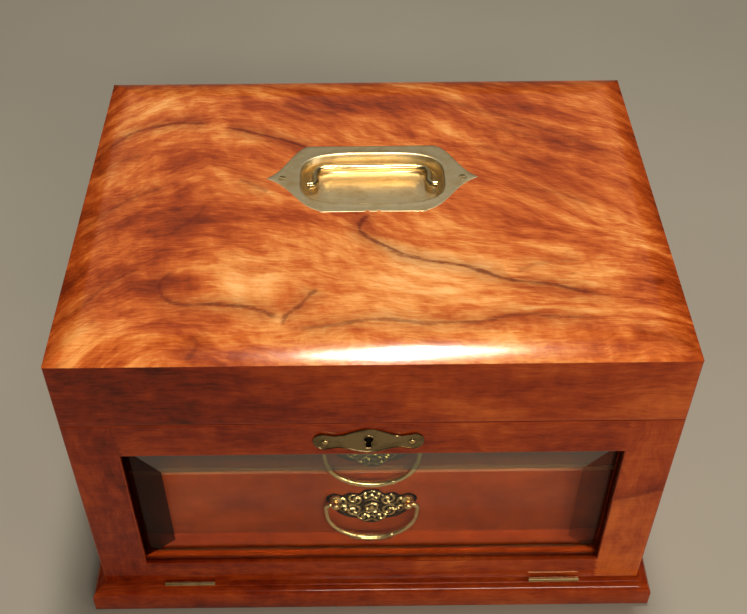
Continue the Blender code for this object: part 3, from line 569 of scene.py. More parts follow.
def top_figure(piece):
    """Grain of the lid's top: it arches over the left third, falls to the right, and lies down in front."""
    x, y, _ = positions(piece)
    left = 1 / (1 + np.exp((x + 88) / 14))
    lie_down = np.clip((y + 98) / 75, 0.05, 1) ** 0.8
    slope = 0.86 * left + 0.50 * lie_down * (1 - left)
    arch = np.sqrt((x + 88) ** 2 + 30**2) - 30
    across = y + slope * arch + ripple(x, y, 11, 70, 5)
    along = x + 0.25 * y + ripple(x, y, 12, 90, 6)
    nearest, strength = nearest_vein(x, y, TOP_VEINS)
    tone = np.full(len(x), 0.02)
    for cx, cy, half_x, half_y, height in TOP_CLOUDS:
        spread = ripple(x, y, int(abs(cx)) + 40, 30, 0.25)
        tone += height * np.exp(-(((x - cx) / half_x) ** 2 + ((y - cy) / half_y) ** 2) * (1 + spread))
    # The tone is lowered towards the sides, within 13 mm of them, and less towards the back, within 12 mm.
    side = np.clip(1 - (HALF_X / MM - np.abs(x)) / 13, 0, 1)
    rear = np.clip(1 - (HALF_Y / MM - y) / 12, 0, 1)
    tone -= 0.30 * side + 0.15 * rear
    set_vectors(piece, "grain", along, across, nearest)
    set_vectors(piece, "figure_and_shade", tone, 0.0, strength)


def plain_figure(piece, along, across, sheet, tone=0.0):
    """Grain of a plain sheet, from each point's distance along and across it in millimetres. Where a caller
    gives a tone that changes along x, that tone is painted shade and light.
    """
    set_vectors(piece, "grain", along, across, 60.0)
    set_vectors(piece, "figure_and_shade", tone, sheet, 0.0)


def thicken(piece):
    """Gives a veneer its thickness, towards the board."""
    step = piece.modifiers.new("thickness", "SOLIDIFY")
    step.thickness = VENEER * 0.9
    step.offset = -1


# ---------------------------------------------------------------- lid


def superellipse(directions, half_x, half_y, power=3.4):
    """The point of a superellipse in each direction: |x / half_x|^power + |y / half_y|^power = 1."""
    reach = (np.abs(directions / np.array([half_x, half_y])) ** power).sum(axis=1) ** (1 / power)
    return directions / reach[:, None]


def lid_top_veneer():
    """The top sheet: a parabola from the arris over the roll, then flat to a hole for the handle's pan.

    The underside follows the same rings, lower by the sheet's thickness.
    """
    outline = rectangle(225, 170)
    half = np.array([HALF_X, HALF_Y])
    middle = np.array([HANDLE_X, HANDLE_Y])
    inner = outline * (half - CROWN_ROLL)
    hole = superellipse(inner - middle, PAN_X + 2 * MM, PAN_Y + 2 * MM) + middle
    rings = []
    for t in np.linspace(0, 1, 20):
        edge = outline * (half + VENEER - (CROWN_ROLL + VENEER) * t)
        height = ARRIS + VENEER + CROWN_RISE * (1 - (1 - t) ** 2)
        rings.append(at_height(edge, height))
    for t in np.linspace(0, 1, 76)[1:]:
        rings.append(at_height(inner * (1 - t) + hole * t, CROWN_TOP + VENEER))
    under = [ring - np.array([0, 0, VENEER * 0.9]) for ring in [rings[-1], *rings[19::-4], rings[0]]]
    piece = grid_mesh("lid_top_veneer", np.array(rings + under), closed_u=True, closed_v=True, sharp=60)
    top_figure(piece)
    return finish_piece(piece, "lid", TOP_WALNUT)


def wall_rings(low, high, ease, top_ease, rows):
    """A band round the box, its corners and edges eased: points [row, place] and the distance round it."""
    half = np.array([HALF_X, HALF_Y]) + VENEER
    corners = rounded_corners(half, 1.2 * MM, 7)
    path = []
    for a, b in zip(corners, np.roll(corners, -1, axis=0)):
        steps = 60 if np.linalg.norm(b - a) > 10 * MM else 1
        path.append(a + (b - a) * np.linspace(0, 1, steps, endpoint=False)[:, None])
    path = np.vstack(path)
    profile = [(inset, low + rise) for rise, inset in eased_edge(ease, 6)]
    profile += [(0, z) for z in np.linspace(low + ease, high - top_ease, rows)[1:-1]]
    profile += [(inset, high - drop) for inset, drop in eased_edge(top_ease, 6)]
    rings = [at_height(path * (1 - inset / half), z) for inset, z in profile]
    return np.array(rings), run_length(path)


def lid_side_veneer():
    """Upright veneer round the lid, eased at the seam and crisp at the arris."""
    rings, along = wall_rings(LID_BOTTOM, ARRIS + VENEER, 0.7 * MM, 0.3 * MM, 12)
    piece = grid_mesh("lid_side_veneer", rings, closed_v=True, out_from=(0, 0, 0.17))
    x, _, z = positions(piece)
    # The tone falls from the right end to the left: painted shade on the left of the lid, painted light on
    # the right.
    plain_figure(piece, np.tile(along, len(rings)), z, 7.0, tone=np.clip(x / 550, -0.26, 0.10))
    thicken(piece)
    return finish_piece(piece, "lid", FACE_WALNUT)


# ---------------------------------------------------------------- case


def case_veneer():
    """One sheet round the left side, the back and the right side, its corners eased."""
    rings, _ = wall_rings(SIDE_LOW[2], SIDE_HIGH[2], 0.5 * MM, 0.7 * MM, 16)
    front = SIDE_LOW[1]
    right_first = rings[8, :, 1] + 1.0 * (rings[8, :, 0] < 0)
    start = int(np.argmin(right_first))
    rings = np.roll(rings, -start, axis=1)
    rings = rings[:, rings[8, :, 1] >= front]
    rings[:, 0, 1] = rings[:, -1, 1] = front
    piece = grid_mesh("case_veneer", rings, out_from=(0, 0, 0.08))
    _, _, z = positions(piece)
    plain_figure(piece, np.tile(run_length(rings[8]), len(rings)), z, 21.0)
    thicken(piece)
    return finish_piece(piece, "case", FACE_WALNUT)


def plinth_profile():
    """(outward, height) pairs round the moulding: foot, upright, ovolo, quirk, ledge, inner side."""
    height, reach, ledge, quirk, drop, ease, inside = 17.0, 7.5, 3.0, 0.8, 5.5, 0.5, -14.0
    points = [(inside, 0.0), (reach - ease, 0.0), (reach - ease * 0.3, ease * 0.3), (reach, ease)]
    for a in np.linspace(math.pi / 2, 0, 14):
        points.append((ledge + (reach - ledge) * math.sin(a), height - quirk - drop * (1 - math.cos(a))))
    points += [(ledge, height - ease), (ledge - ease * 0.3, height - ease * 0.3), (ledge - ease, height)]
    return np.array(points + [(inside, height)]) * MM


def plinth_moulding():
    """The profile carried round the foot of the case, mitred at the corners."""
    profile = plinth_profile()
    corners = rectangle(60, 46)
    rings = []
    for out, z in profile:
        rings.append(at_height(corners * (np.array([HALF_X, HALF_Y]) + out), z))
    rings = np.array(rings)
    piece = grid_mesh("plinth_moulding", rings, closed_u=True, closed_v=True, sharp=50)
    x, _, _ = positions(piece)
    along, girth = run_length(rings[3]), run_length(profile)
    # The tone falls from right to left: painted shade on the left of the moulding, painted light on the
    # right.
    tone = np.clip(x / 900, -0.14, 0.05)
    plain_figure(piece, np.tile(along, len(profile)), np.repeat(girth, len(corners)), 33.0, tone)
    sides = [f"plinth_{side}" for side in ("front", "right", "back", "left")]
    return finish_piece(piece, "case", FACE_WALNUT, sides)


# ---------------------------------------------------------------- fall front


def front_veneer():
    """Veneer over the frame's face, turned round its outer edge and into the window.

    Each place round the frame has an outer and an inner point. The profile runs from one to the other and
    back in y, with a quarter circle at each edge.
    """
    corners = rectangle(110, 60)
    middle = np.array([0, (DOOR_LOW[2] + DOOR_HIGH[2]) / 2])
    outer = middle + corners * np.array([HALF_X + VENEER, (DOOR_HIGH[2] - DOOR_LOW[2]) / 2 + VENEER / 2])
    window = np.array([0, (WINDOW_TOP + WINDOW_BOTTOM) / 2])
    inner = window + corners * np.array([WINDOW_X - VENEER, (WINDOW_TOP - WINDOW_BOTTOM) / 2 - VENEER])
    width = np.linalg.norm(inner - outer, axis=1)[:, None]
    face, ease = FACE_Y - VENEER, 1.3 * MM
    quarter = eased_edge(ease, 7)
    profile = [(0 * width, 9 * MM)] + [(inset / width, deep) for inset, deep in quarter]
    profile += [(t + 0 * width, 0) for t in np.linspace(0.1, 0.9, 13)]
    profile += [(1 - inset / width, deep) for inset, deep in quarter[::-1]] + [(1 + 0 * width, 3.4 * MM)]
    rings = []
    for share, deep in profile:
        rings.append(at_depth(outer + (inner - outer) * share, face + deep))
    piece = grid_mesh("front_veneer", np.array(rings), closed_v=True, out_from=(0, 1.0, 0.09))
    x, _, z = positions(piece)
    stile = np.abs(x) > WINDOW_X / MM
    # The right stile is pieced: a paler length below a joint that dips towards the window.
    joint = 95 + 0.35 * (x - 137)
    below = 1 / (1 + np.exp((z - joint) / 0.3))
    paler = np.where((x > 0) & stile, 0.30 * below, 0.0)
    seam = np.where((x > 0) & stile, np.abs(z - joint), 60.0)
    along, across = np.where(stile, z, x), np.where(stile, x, z)
    sheet = 45 + 9.0 * stile * np.sign(x) + 5.0 * below * (x > 0) * stile
    set_vectors(piece, "grain", along, across, seam)
    # Besides the paler length, the tone falls from right to left: painted shade on the left of the frame,
    # painted light on the right.
    set_vectors(piece, "figure_and_shade", paler + np.clip(x / 700, -0.22, 0.06), sheet, 0.6)
    thicken(piece)
    return finish_piece(piece, "front", FACE_WALNUT)


def bevelled_glass():
    """A plate with a wide bevel round its front: rectangles that step in and forward between flat panes.

    The bevel that faces up mirrors the room through a bright coat, and a green-grey tint on it is painted
    reflection; the side ones carry a tint of painted shade, darkest at the left.
    """
    low, high = span("front_glass")
    edge, bevel = 1.6 * MM, 21 * MM
    middle, half = (low + high)[[0, 2]] / 2, (high - low)[[0, 2]] / 2
    square = np.array([(-1, -1), (1, -1), (1, 1), (-1, 1)])
    rings = []
    for inset, y in ((0.3 * MM, high[1]), (0, high[1] - 0.3 * MM), (0, high[1] - edge), (bevel, low[1])):
        rings.append(at_depth(middle + square * (half - inset), y))
    piece = grid_mesh("bevelled_glass", np.array(rings), closed_v=True, caps=True, sharp=3)
    finish_piece(piece, "front", CLEAR_GLASS, ["front_glass"])
    piece.data.materials.append(TOP_BEVEL_PAINTED_REFLECTION)
    piece.data.materials.append(SIDE_BEVEL_PAINTED_SHADE)
    for face in piece.data.polygons:
        if face.normal.z > 0.1 and face.normal.y < -0.5:
            face.material_index = 1
        if abs(face.normal.x) > 0.1 and face.normal.y < -0.5:
            face.material_index = 2
    return piece


# ---------------------------------------------------------------- brass of the lid


def plate_edge(count):
    """The handle plate's outline from the front left: straight edges, and ogee ends to a point."""
    length, depth = (PLATE_HIGH[0] - PLATE_LOW[0]) / 2, (PLATE_HIGH[1] - PLATE_LOW[1]) / 2
    step = 0.7 * MM
    t = np.linspace(0, 1, count)

    def ogee(start, sign, near):
        y = near * (1 - t) + 2.4 * MM * np.sin(2 * math.pi * t) * (1 - 0.3 * t)
        return np.stack([start + (length - start) * t, sign * y], 1)

    front_x = np.linspace(-28 * MM, 28 * MM, 4 * count)
    notch = np.exp(-(((np.abs(front_x) - 3 * MM) / (0.9 * MM)) ** 4)) * 1.1 * MM
    front = np.stack([front_x, notch - depth], 1)
    back = np.stack([np.linspace(35 * MM, -35 * MM, 2 * count), np.full(2 * count, depth)], 1)
    front_right, back_right = ogee(28 * MM, -1, depth - step), ogee(35 * MM, 1, depth)[::-1]
    mirror = np.array([-1, 1])
    left = [(back_right[::-1] * mirror)[1:], (front_right[::-1] * mirror)[1:]]
    return np.vstack([front, front_right, back_right[1:], back[1:], *left])


def flush_handle_pan():
    """Plate and pan as one pressing: rings from the floor's middle out over the rim, and back below."""
    edge = plate_edge(26)
    middle = np.array([HANDLE_X, HANDLE_Y])
    floor, top = CROWN_TOP - 9.4 * MM, PLATE_TOP
    foot, rim = 3.4 * MM, 1.1 * MM
    rings = []

    def ring(points, z):
        rings.append(at_height(points + middle, z))

    def pan(grow, z, share=1.0):
        ring(superellipse(edge, PAN_X + grow, PAN_Y + grow) * share, z)

    for share in (0.02, 0.3, 0.6, 0.85):
        pan(-5.4 * MM, floor, share)
    for angle in np.radians(np.linspace(0, 75, 9)):
        pan(-5.4 * MM + foot * math.sin(angle), floor + foot * (1 - math.cos(angle)))
    for angle in np.radians(np.linspace(15, 90, 8)):
        pan(rim * (1 - math.cos(angle)) - 0.6 * MM, top - rim + rim * math.sin(angle))
    hem = superellipse(edge, PAN_X + 2.2 * MM, PAN_Y + 1.8 * MM)
    for share in (0.0, 0.35, 0.7):
        ring(hem + (edge - hem) * share, top - 0.12 * MM)
    reach = np.linalg.norm(edge, axis=1)[:, None]
    for inset, drop in ((1.0, 0.12), (0.5, 0.2), (0.15, 0.45), (0.0, 0.8), (0.0, 1.4)):
        ring(edge * (1 - inset * MM / reach), top - drop * MM)
    pan(1.0 * MM, top - 1.4 * MM)
    pan(-3 * MM, floor - 1 * MM)
    pan(-6 * MM, floor - 1 * MM, 0.02)
    piece = grid_mesh("flush_handle_pan", np.array(rings), closed_v=True, caps=True, sharp=32)
    return finish_piece(piece, "lid", PRESSED_BRASS, ["flush_handle_plate"])


def sweep(name, path, radii, sides=20):
    """A round bar: a circle of radii[i] at each path point, square to the path and turned along with it."""
    ahead = np.gradient(path, axis=0)
    ahead /= np.linalg.norm(ahead, axis=1)[:, None]
    normal = np.cross(ahead[0], [0.0, 0.3, 1.0])
    normals = []
    for direction in ahead:
        normal = normal - direction * (normal @ direction)
        normal /= np.linalg.norm(normal)
        normals.append(normal)
    normals = np.array(normals)
    turn = np.linspace(0, 2 * math.pi, sides, endpoint=False)[None, :, None]
    circle = normals[:, None] * np.cos(turn) + np.cross(ahead, normals)[:, None] * np.sin(turn)
    return grid_mesh(name, path[:, None] + circle * radii[:, None, None], closed_v=True, caps=True)


def flush_handle_grip():
    """The folding grip: a bar that swells towards its middle, bent at both ends on to its pivots."""
    low, high = span("flush_handle_bail")
    radius = (high[2] - low[2]) / 2
    z, reach = (low[2] + high[2]) / 2, high[1] - radius - HANDLE_Y
    stub, half, bend = (high[0] - low[0]) / 2, 30.5 * MM, 5 * MM
    route = [(stub, 0), (half + 1.6 * MM, 0.2 * MM), (half, 2.6 * MM), (half, reach - bend)]
    right = smooth_path(route + [(half - bend, reach), (0, reach)], 12)
    right[:, 0] = np.minimum(right[:, 0], stub)
    x, y = np.vstack([right, (right[:-1] * np.array([-1, 1]))[::-1]]).T
    swell = np.clip(1 - (x / (22 * MM)) ** 2, 0, 1) * (y > reach - 3 * MM)
    path = np.column_stack([x + HANDLE_X, y + HANDLE_Y, np.full(len(x), z)])
    piece = sweep("flush_handle_grip", path, radius * (0.86 + 0.14 * swell))
    return finish_piece(piece, "flush_handle", GRIP_BRASS, ["flush_handle_bail"])


def slotted_screw(name, centre, facing, radius, body, slot_turn):
    """A countersunk head, slightly domed: rings from its middle to its rim, with a slot cut across."""
    r = np.linspace(0.02, 1, 12)[:, None] * radius
    turn = np.linspace(0, 2 * math.pi, 40, endpoint=False)[None, :]
    u, v = r * np.cos(turn), r * np.sin(turn)
    line = u * math.cos(slot_turn) + v * math.sin(slot_turn)
    height = 0.10 * radius * (1 - (r / radius) ** 2) - 0.3 * radius * (np.abs(line) < 0.15 * radius)
    u, v = np.vstack([u, u[-1:], u[-1:] * 0.03]), np.vstack([v, v[-1:], v[-1:] * 0.03])
    height = np.vstack([height, np.full((2, 40), -0.5 * radius)])
    axis = Vector(facing).normalized()
    side = axis.orthogonal().normalized()
    basis = [np.array(side), np.array(axis.cross(side)), np.array(axis)]
    points = sum(part[..., None] * direction for part, direction in zip((u, v, height), basis))
    piece = grid_mesh(name, points + np.array(centre), closed_v=True, caps=True, sharp=30)
    return finish_piece(piece, body, HINGE_BRASS)


# ---------------------------------------------------------------- lock brass

ESCUTCHEON_LOW, ESCUTCHEON_HIGH = span("escutcheon")
LOCK_X, _, LOCK_Z = (ESCUTCHEON_LOW + ESCUTCHEON_HIGH) / 2


def keyhole_edge(turn):
    """Distance from the keyhole's middle to its edge by direction: a round hole above, a slot below."""
    radius, slot, drop, lift = 2.2 * MM, 1.2 * MM, 4.6 * MM, 1.6 * MM
    x, z = np.cos(turn), np.sin(turn)
    hole = lift * z + np.sqrt(np.maximum(radius**2 - (lift * x) ** 2, 0))
    beside = slot / np.maximum(np.abs(x), 1e-6)
    below = np.where(z < 0, drop / np.maximum(-z, 1e-6), 0)
    return np.maximum(hole, np.minimum(beside, below))


def escutcheon_edge(turn):
    """Distance to the plate's edge by direction, found along each ray: round ends and a swelling between."""
    half, lobe = 27.2 * MM, 6 * MM
    reach = np.linspace(0, half, 900)
    x, z = np.abs(np.outer(np.cos(turn), reach)), np.abs(np.outer(np.sin(turn), reach))
    ends = np.sqrt(np.maximum(lobe**2 - (x - half + lobe) ** 2, 0))
    swell = 4.4 * MM * (1.5 + 0.5 * np.cos(math.pi * np.minimum(1, x / (17 * MM)))) * (x < half - lobe)
    inside = z <= np.maximum(ends, swell)
    return reach[np.where(inside.all(axis=1), len(reach) - 1, np.argmin(inside, axis=1))]


def escutcheon_plate():
    """From the keyhole out: a raised rim round the hole, a flat field, a bevelled border, the back."""
    turn = np.linspace(0, 2 * math.pi, 300, endpoint=False)
    turn = turn + 0.40 * np.sin(2 * turn + math.pi)
    hole, edge = keyhole_edge(turn), escutcheon_edge(turn)
    back, front = ESCUTCHEON_HIGH[1], ESCUTCHEON_LOW[1]
    field = front + 0.25 * MM
    profile = [(hole, back), (hole, field), (hole + 0.3 * MM, front), (hole + 0.8 * MM, front)]
    profile += [(hole + 1.1 * MM, field)]
    profile += [(hole * (1 - t) + (edge - 1.5 * MM) * t, field) for t in (0.4, 0.7, 1.0)]
    profile += [(edge - 1.2 * MM, front), (edge - 0.8 * MM, front), (edge - 0.3 * MM, front + 0.2 * MM)]
    profile += [(edge, front + 0.6 * MM), (edge, back)]
    rings = [
        np.column_stack([LOCK_X + r * np.cos(turn), np.full(len(turn), y), LOCK_Z + r * np.sin(turn)])
        for r, y in profile
    ]
    piece = grid_mesh("escutcheon_plate", np.array(rings), closed_u=True, closed_v=True, sharp=30)
    return finish_piece(piece, "front", LOCK_BRASS, ["escutcheon"])


def turned_about_y(name, centre, profile):
    """A turned shape: the profile's (radius, forward) pairs in millimetres, spun about a line along y."""
    radius, forward = np.array(profile).T[..., None] * MM
    turn = np.linspace(0, 2 * math.pi, 28, endpoint=False)[None, :]
    points = np.stack([radius * np.cos(turn), -forward + 0 * turn, radius * np.sin(turn)], -1)
    return grid_mesh(name, points + np.array(centre), closed_v=True, caps=True, sharp=40)


def quarter_dome(radius, height, steps=9):
    """(radius, forward) pairs over a dome, from its middle to its rim and back under to the middle."""
    angle = np.linspace(0.04, math.pi / 2, steps)
    dome = [(radius * math.sin(a), height * math.cos(a)) for a in angle]
    return dome + [(radius, -0.3), (0.05, -0.3)]


# ---------------------------------------------------------------- drawers


def drawer_board(label):
    """A drawer front: a round-cornered section carried along x, shrinking by a quarter circle at each end."""
    node = f"{label}_drawer_front"
    low, high = span(node)
    half, middle = (high - low) / 2, (low + high) / 2
    ease = 0.9 * MM
    ends = eased_edge(ease, 6)
    stations = [(deep - half[0], inset) for deep, inset in ends]
    stations += [(x, 0.0) for x in np.linspace(ease - half[0], half[0] - ease, 30)[1:-1]]
    stations += [(half[0] - deep, inset) for deep, inset in ends[::-1]]
    section = rounded_corners(half[1:], ease, 6)
    rings = []
    for x, inset in stations:
        y, z = (section * (1 - inset / half[1:]) + middle[1:]).T
        rings.append(np.column_stack([np.full(len(y), middle[0] + x), y, z]))
    piece = grid_mesh(f"{label}_front_board", np.array(rings), closed_v=True, caps=True, sharp=40)
    return finish_piece(piece, f"{label}_drawer", DRAWER_WALNUT, [node])


# Right half of the handle's cast plate, in millimetres from its pivot line, from the crest to the foot.
CARTOUCHE = ((0, 8), (4, 7.2), (7, 4), (12, 5), (16, 2.4), (20, 4.4), (24.5, 1), (23, -4.5), (18, -6))
CARTOUCHE += ((19.5, -11), (14, -16.5), (8, -18.5), (4, -21.5), (0, -22.5))
# Scrolls of its relief: middle, size, and the way each curls.
SCROLLS = ((9, 0, 5.0, 1), (9.5, -10, 4.8, -1), (17, -1, 3.8, 1), (3.4, 3.6, 3.2, -1), (0, -8, 4.2, 1))
SCROLLS += ((4.5, -16, 4.0, 1), (14.5, -7.5, 3.4, -1))


def cartouche_relief(u, v):
    """Height of the casting, 0 to 1, at u across and v up: spiral ridges round scrolls, a leaf between."""
    total = np.zeros_like(u)
    for cu, cv, size, way in SCROLLS:
        du, dv = u - cu, v - cv
        away = np.hypot(du, dv)
        spiral = np.cos(2 * way * np.arctan2(dv, du) - away * 2.1)
        total += (0.35 + 0.65 * spiral) * np.exp(-((away / size) ** 4))
    leaf = np.cos(v * 1.7 + u * 0.9) * np.exp(-((u / 3.4) ** 2))
    return np.clip(0.15 + 0.75 * total + 0.4 * leaf, 0, 1)


def cartouche(label):
    """The cast plate: rings from its middle to its edge, raised by the relief, flat behind."""
    _, high = span(f"{label}_drawer_backplate")
    back = high[1]
    pivot = high[2] - 8 * MM
    right = np.array(CARTOUCHE, float)
    loop = np.vstack([right, right[-2:0:-1] * np.array([-1, 1])])
    edge = smooth_path(np.vstack([loop, loop[:1]]), 9)[:-1]
    heart = np.array([0, -7.0])
    share = np.linspace(0.02, 1, 60)[:, None, None]
    u, v = np.moveaxis(heart + (edge - heart) * share, -1, 0)
    rim = np.clip((1 - share[..., 0]) * 16, 0, 1)
    height = cartouche_relief(np.abs(u), v) * rim
    front = np.stack([u * MM, back - (0.45 + 1.5 * height) * MM, pivot + v * MM], -1)
    behind = front[[-1, 0]].copy()
    behind[..., 1] = back
    points = np.concatenate([front, behind])
    piece = grid_mesh(f"{label}_cartouche", points, closed_v=True, caps=True, sharp=60)
    heights = np.concatenate([height.ravel(), height[[-1, 0]].ravel()])
    layer = piece.data.attributes.new("relief", "FLOAT", "POINT")
    layer.data.foreach_set("value", heights.astype(np.float32))
    return finish_piece(piece, f"{label}_drawer", CAST_BRASS, [f"{label}_drawer_backplate"])


# (radius, forward) of a handle post in millimetres, from its ball to its rosette.
POST_PROFILE = ((0.05, 7.3), (1.2, 7.2), (2.0, 6.6), (2.3, 5.6), (2.2, 4.6), (1.8, 3.8), (1.35, 3.2))
POST_PROFILE += ((1.3, 2.6), (2.2, 2.3), (3.2, 1.9), (3.5, 1.2), (3.5, 0.1), (0.05, 0.1))


def drawer_posts(label):
    _, high = span(f"{label}_drawer_backplate")
    for side, word in ((-1, "left"), (1, "right")):
        centre = (side * 19.5 * MM, high[1], high[2] - 8 * MM)
        post = turned_about_y(f"{label}_post_{word}", centre, POST_PROFILE)
        finish_piece(post, f"{label}_drawer", HINGE_BRASS)


BAIL_FULLNESS = 1.35  # how much thicker the bail's middle is than the plain rod it stands for


def drawer_bail(label):
    """The hanging bail, a D: thicker towards the bottom, with a turned collar on each side of its middle."""
    low, high = span(f"{label}_drawer_bail")
    y, base = (low[1] + high[1]) / 2, (high[1] - low[1]) / 2
    half = (high[0] - low[0]) / 2 - base
    pivot, bottom = high[2] - base, low[2] + base
    straight = pivot - 5 * MM
    turn = np.linspace(0, math.pi, 120)
    stub = [(21.8 * MM, pivot), (half - 1.6 * MM, pivot - 0.1 * MM), (half, pivot - 2.2 * MM)]
    bend_x, bend_z = smooth_path(stub, 6).T
    x = np.concatenate([bend_x, half * np.cos(turn), -bend_x[::-1]])
    z = np.concatenate([bend_z, straight - (straight - bottom) * np.sin(turn) ** 0.85, bend_z[::-1]])
    low_part = z < pivot - 10 * MM
    swell = 0.8 + 0.2 * np.exp(-((x / (9 * MM)) ** 2)) * low_part
    collar = np.exp(-(((np.abs(x) - 11 * MM) / (0.8 * MM)) ** 2)) * low_part
    path = np.column_stack([x, np.full(len(x), y), z])
    radii = base * BAIL_FULLNESS * np.minimum(swell + 0.25 * collar, 1.06)
    piece = sweep(f"{label}_bail", path, radii, sides=16)
    return finish_piece(piece, f"{label}_bail", GRIP_BRASS, [f"{label}_drawer_bail"])


def drawer_velvet(label):
    """A velvet lining on the drawer's floor, turned up its walls: rectangles carried round a rounded foot."""
    low, high = span(f"{label}_drawer_bottom")
    corners = rectangle(60, 46)
    half, middle = (high - low)[:2] / 2 - 0.3 * MM, (high + low)[:2] / 2
    floor, thick, foot = high[2] + 0.1 * MM, 0.8 * MM, 3 * MM
    wall = span(f"{label}_drawer_side_left")[1][2] - 9 * MM
    profile = [(None, floor + thick, share) for share in (0.02, 0.3, 0.6, 0.9)]
    for a in np.linspace(0, math.pi / 2, 6):
        profile.append((thick + foot * (1 - math.sin(a)), floor + thick + foot * (1 - math.cos(a)), 1))
    profile += [(thick, wall - 0.4 * MM, 1), (thick * 0.7, wall, 1), (thick * 0.2, wall, 1)]
    profile += [(0, wall - 0.4 * MM, 1), (0, floor, 1), (0, floor, 0.02)]
    rings = []
    for inset, z, share in profile:
        rings.append(at_height(corners * (half - (foot if inset is None else inset)) * share + middle, z))
    piece = grid_mesh(f"{label}_drawer_velvet", np.array(rings), closed_v=True, caps=True)
    return finish_piece(piece, f"{label}_drawer", VELVET)


# ---------------------------------------------------------------- padded linings


def pad(name, node, body, crown, quilt, upward):
    """A padded sheet: rectangles from its middle to its rim, crowned in front and flat behind.

    The crown's height goes as the square root of 1 - s^8, where s runs from 0 in the middle to 1 at the
    rim. It falls into a groove along each quilting line, on diamonds of the given pitch.
    """
    low, high = span(node)
    half, middle = (high - low) / 2, (low + high) / 2
    square = rectangle(130, 96)
    rim = 0.93 + 0.07 * np.sin(np.linspace(0.1, math.pi / 2, 9))
    share = np.concatenate([np.linspace(0.01, 0.93, 60), rim])[:, None, None]
    x, y = np.moveaxis(square * half[:2] * share, -1, 0)
    thick = high[2] - low[2]
    swell = np.sqrt(np.maximum(0, 1 - share[..., 0] ** 8))
    height = thick * (1 - crown + crown * swell) + 0 * x
    if quilt:
        first, second = (x + y) / quilt, (x - y) / quilt
        groove = np.minimum(np.abs(first - np.round(first)), np.abs(second - np.round(second)))
        height = height - 0.5 * thick * np.exp(-((groove / 0.05) ** 2)) * swell
    height[-1] = thick * 0.3
    base, sign = (low[2], 1) if upward else (high[2], -1)
    front = np.stack([x + middle[0], y + middle[1], base + sign * height], -1)
    behind = front[[-1, 0]].copy()
    behind[..., 2] = base
    piece = grid_mesh(name, np.concatenate([front, behind]), closed_v=True, caps=True, sharp=70)
    finish_piece(piece, body, VELVET, [node])
    return piece


# ---------------------------------------------------------------- making it all

lid_top_veneer()
lid_side_veneer()
case_veneer()
plinth_moulding()
front_veneer()
bevelled_glass()
flush_handle_pan()
flush_handle_grip()
for word, offset, slot_turn in (("left", -48 * MM, 0.5), ("right", 48 * MM, 1.2)):
    spot = (HANDLE_X + offset, HANDLE_Y, PLATE_TOP - 0.1 * MM)
    slotted_screw(f"handle_screw_{word}", spot, (0, 0, 1), 2.2 * MM, "lid", slot_turn)
escutcheon_plate()
for word, side in (("left", -1), ("right", 1)):
    spot = (LOCK_X + side * 21.2 * MM, ESCUTCHEON_LOW[1] + 0.3 * MM, LOCK_Z)
    pin = turned_about_y(f"escutcheon_pin_{word}", spot, quarter_dome(1.7, 1.1))
    finish_piece(pin, "front", HINGE_BRASS)
# A near black disc behind the keyhole is painted shade: it stands for the dark inside of the hole.
behind_keyhole = (LOCK_X, FACE_Y - VENEER - 0.04 * MM, LOCK_Z)
keyhole_shade = turned_about_y("keyhole_shade_disc", behind_keyhole, quarter_dome(6.0, 0.02))
finish_piece(keyhole_shade, "front", KEYHOLE_SHADE_BRASS)
for drawer in ("lower", "upper"):
    drawer_board(drawer)
    cartouche(drawer)
    drawer_posts(drawer)
    drawer_bail(drawer)
    drawer_velvet(drawer)
pad("well_pad", "well_lining", "case", 0.5, 0, True)
pad("lid_quilting", "lid_lining", "lid", 0.6, 26 * MM, False)


def paint(material, *starts):
    """Gives the CAD nodes whose names begin with one of the starts their finish."""
    for name, shape in NODES.items():
        if name.startswith(starts):
            shape.data.materials.clear()
            shape.data.materials.append(material)


paint(BOARD_WALNUT, "base_rail", "well_front", "side_", "back_", "lid_", "front_", "glass_bead", "plinth")
paint(MAHOGANY, "base_board", "dust_board", "well_floor", "lower_drawer", "upper_drawer")
paint(MAHOGANY_ACROSS, "runner", "lower_drawer_side", "upper_drawer_side")
paint(HINGE_BRASS, "lid_hinge", "front_hinge", "link_plate")
paint(STEEL, "lock_")

# ---------------------------------------------------------------- floor and light


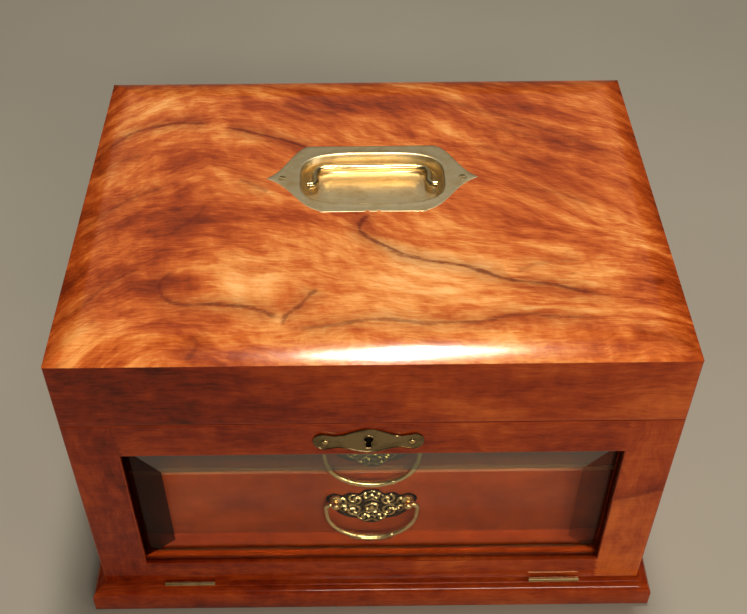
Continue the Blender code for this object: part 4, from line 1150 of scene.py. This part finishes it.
def pale_floor():
    """A plain pale floor that curves up into a backdrop far behind: level, a quarter ellipse, upright."""
    material, tree, shader = new_material("pale_matt_paper")
    mottle = layered(tree, in_millimetres(tree), [((300, 300, 300), 2, 1.0)], 0.5)
    connect(tree, shader, Base_Color=graded(tree, mottle, ((0.3, "94928a"), (0.7, "9a988f"))))
    shader.inputs["Roughness"].default_value = 0.8
    x = np.linspace(-4, 4, 9)[:, None]
    bend = np.linspace(0, math.pi / 2, 14)
    run = np.concatenate([np.linspace(-4, 2, 12), 2.2 + 1.2 * np.sin(bend)])
    rise = np.concatenate([np.zeros(12), 1.2 * (1 - np.cos(bend))])
    run, rise = np.append(run, 3.4), np.append(rise, 4.0)
    points = np.stack([x + 0 * run, run + 0 * x, rise + 0 * x], -1)
    piece = grid_mesh("floor", points, out_from=(0, 0, -50))
    piece.data.materials.append(material)


def lamp(name, place, target, size, power, colour):
    data = bpy.data.lights.new(name, "AREA")
    data.shape = "RECTANGLE"
    data.size, data.size_y = size
    data.energy = power
    data.color = linear(colour)[:3]
    source = bpy.data.objects.new(name, data)
    bpy.context.scene.collection.objects.link(source)
    source.location = place
    source.rotation_euler = (Vector(target) - Vector(place)).to_track_quat("-Z", "Y").to_euler()


def lights():
    world = bpy.data.worlds.new("studio")
    bpy.context.scene.world = world
    world.use_nodes = True
    backdrop = world.node_tree.nodes["Background"]
    backdrop.inputs[0].default_value = linear("c4c3ba")
    backdrop.inputs[1].default_value = 0.10
    lamp("overhead", (0.09, 0.10, 1.9), (0, 0, 0.2), (0.21, 0.32), 26, "fff1de")
    lamp("front_high", (0.25, -1.5, 1.15), (0, -0.1, 0.08), (0.75, 0.16), 15, "ffecd6")
    lamp("right_near", (0.75, -0.75, 0.4), (0.08, -0.1, 0.1), (0.3, 0.3), 2.2, "ffe9d2")
    lamp("ceiling_behind", (0.0, 1.5, 1.7), (0, 0, 0.2), (2.6, 1.5), 2.2, "fffaf0")


pale_floor()
lights()
bpy.context.scene.view_settings.view_transform = "Standard"
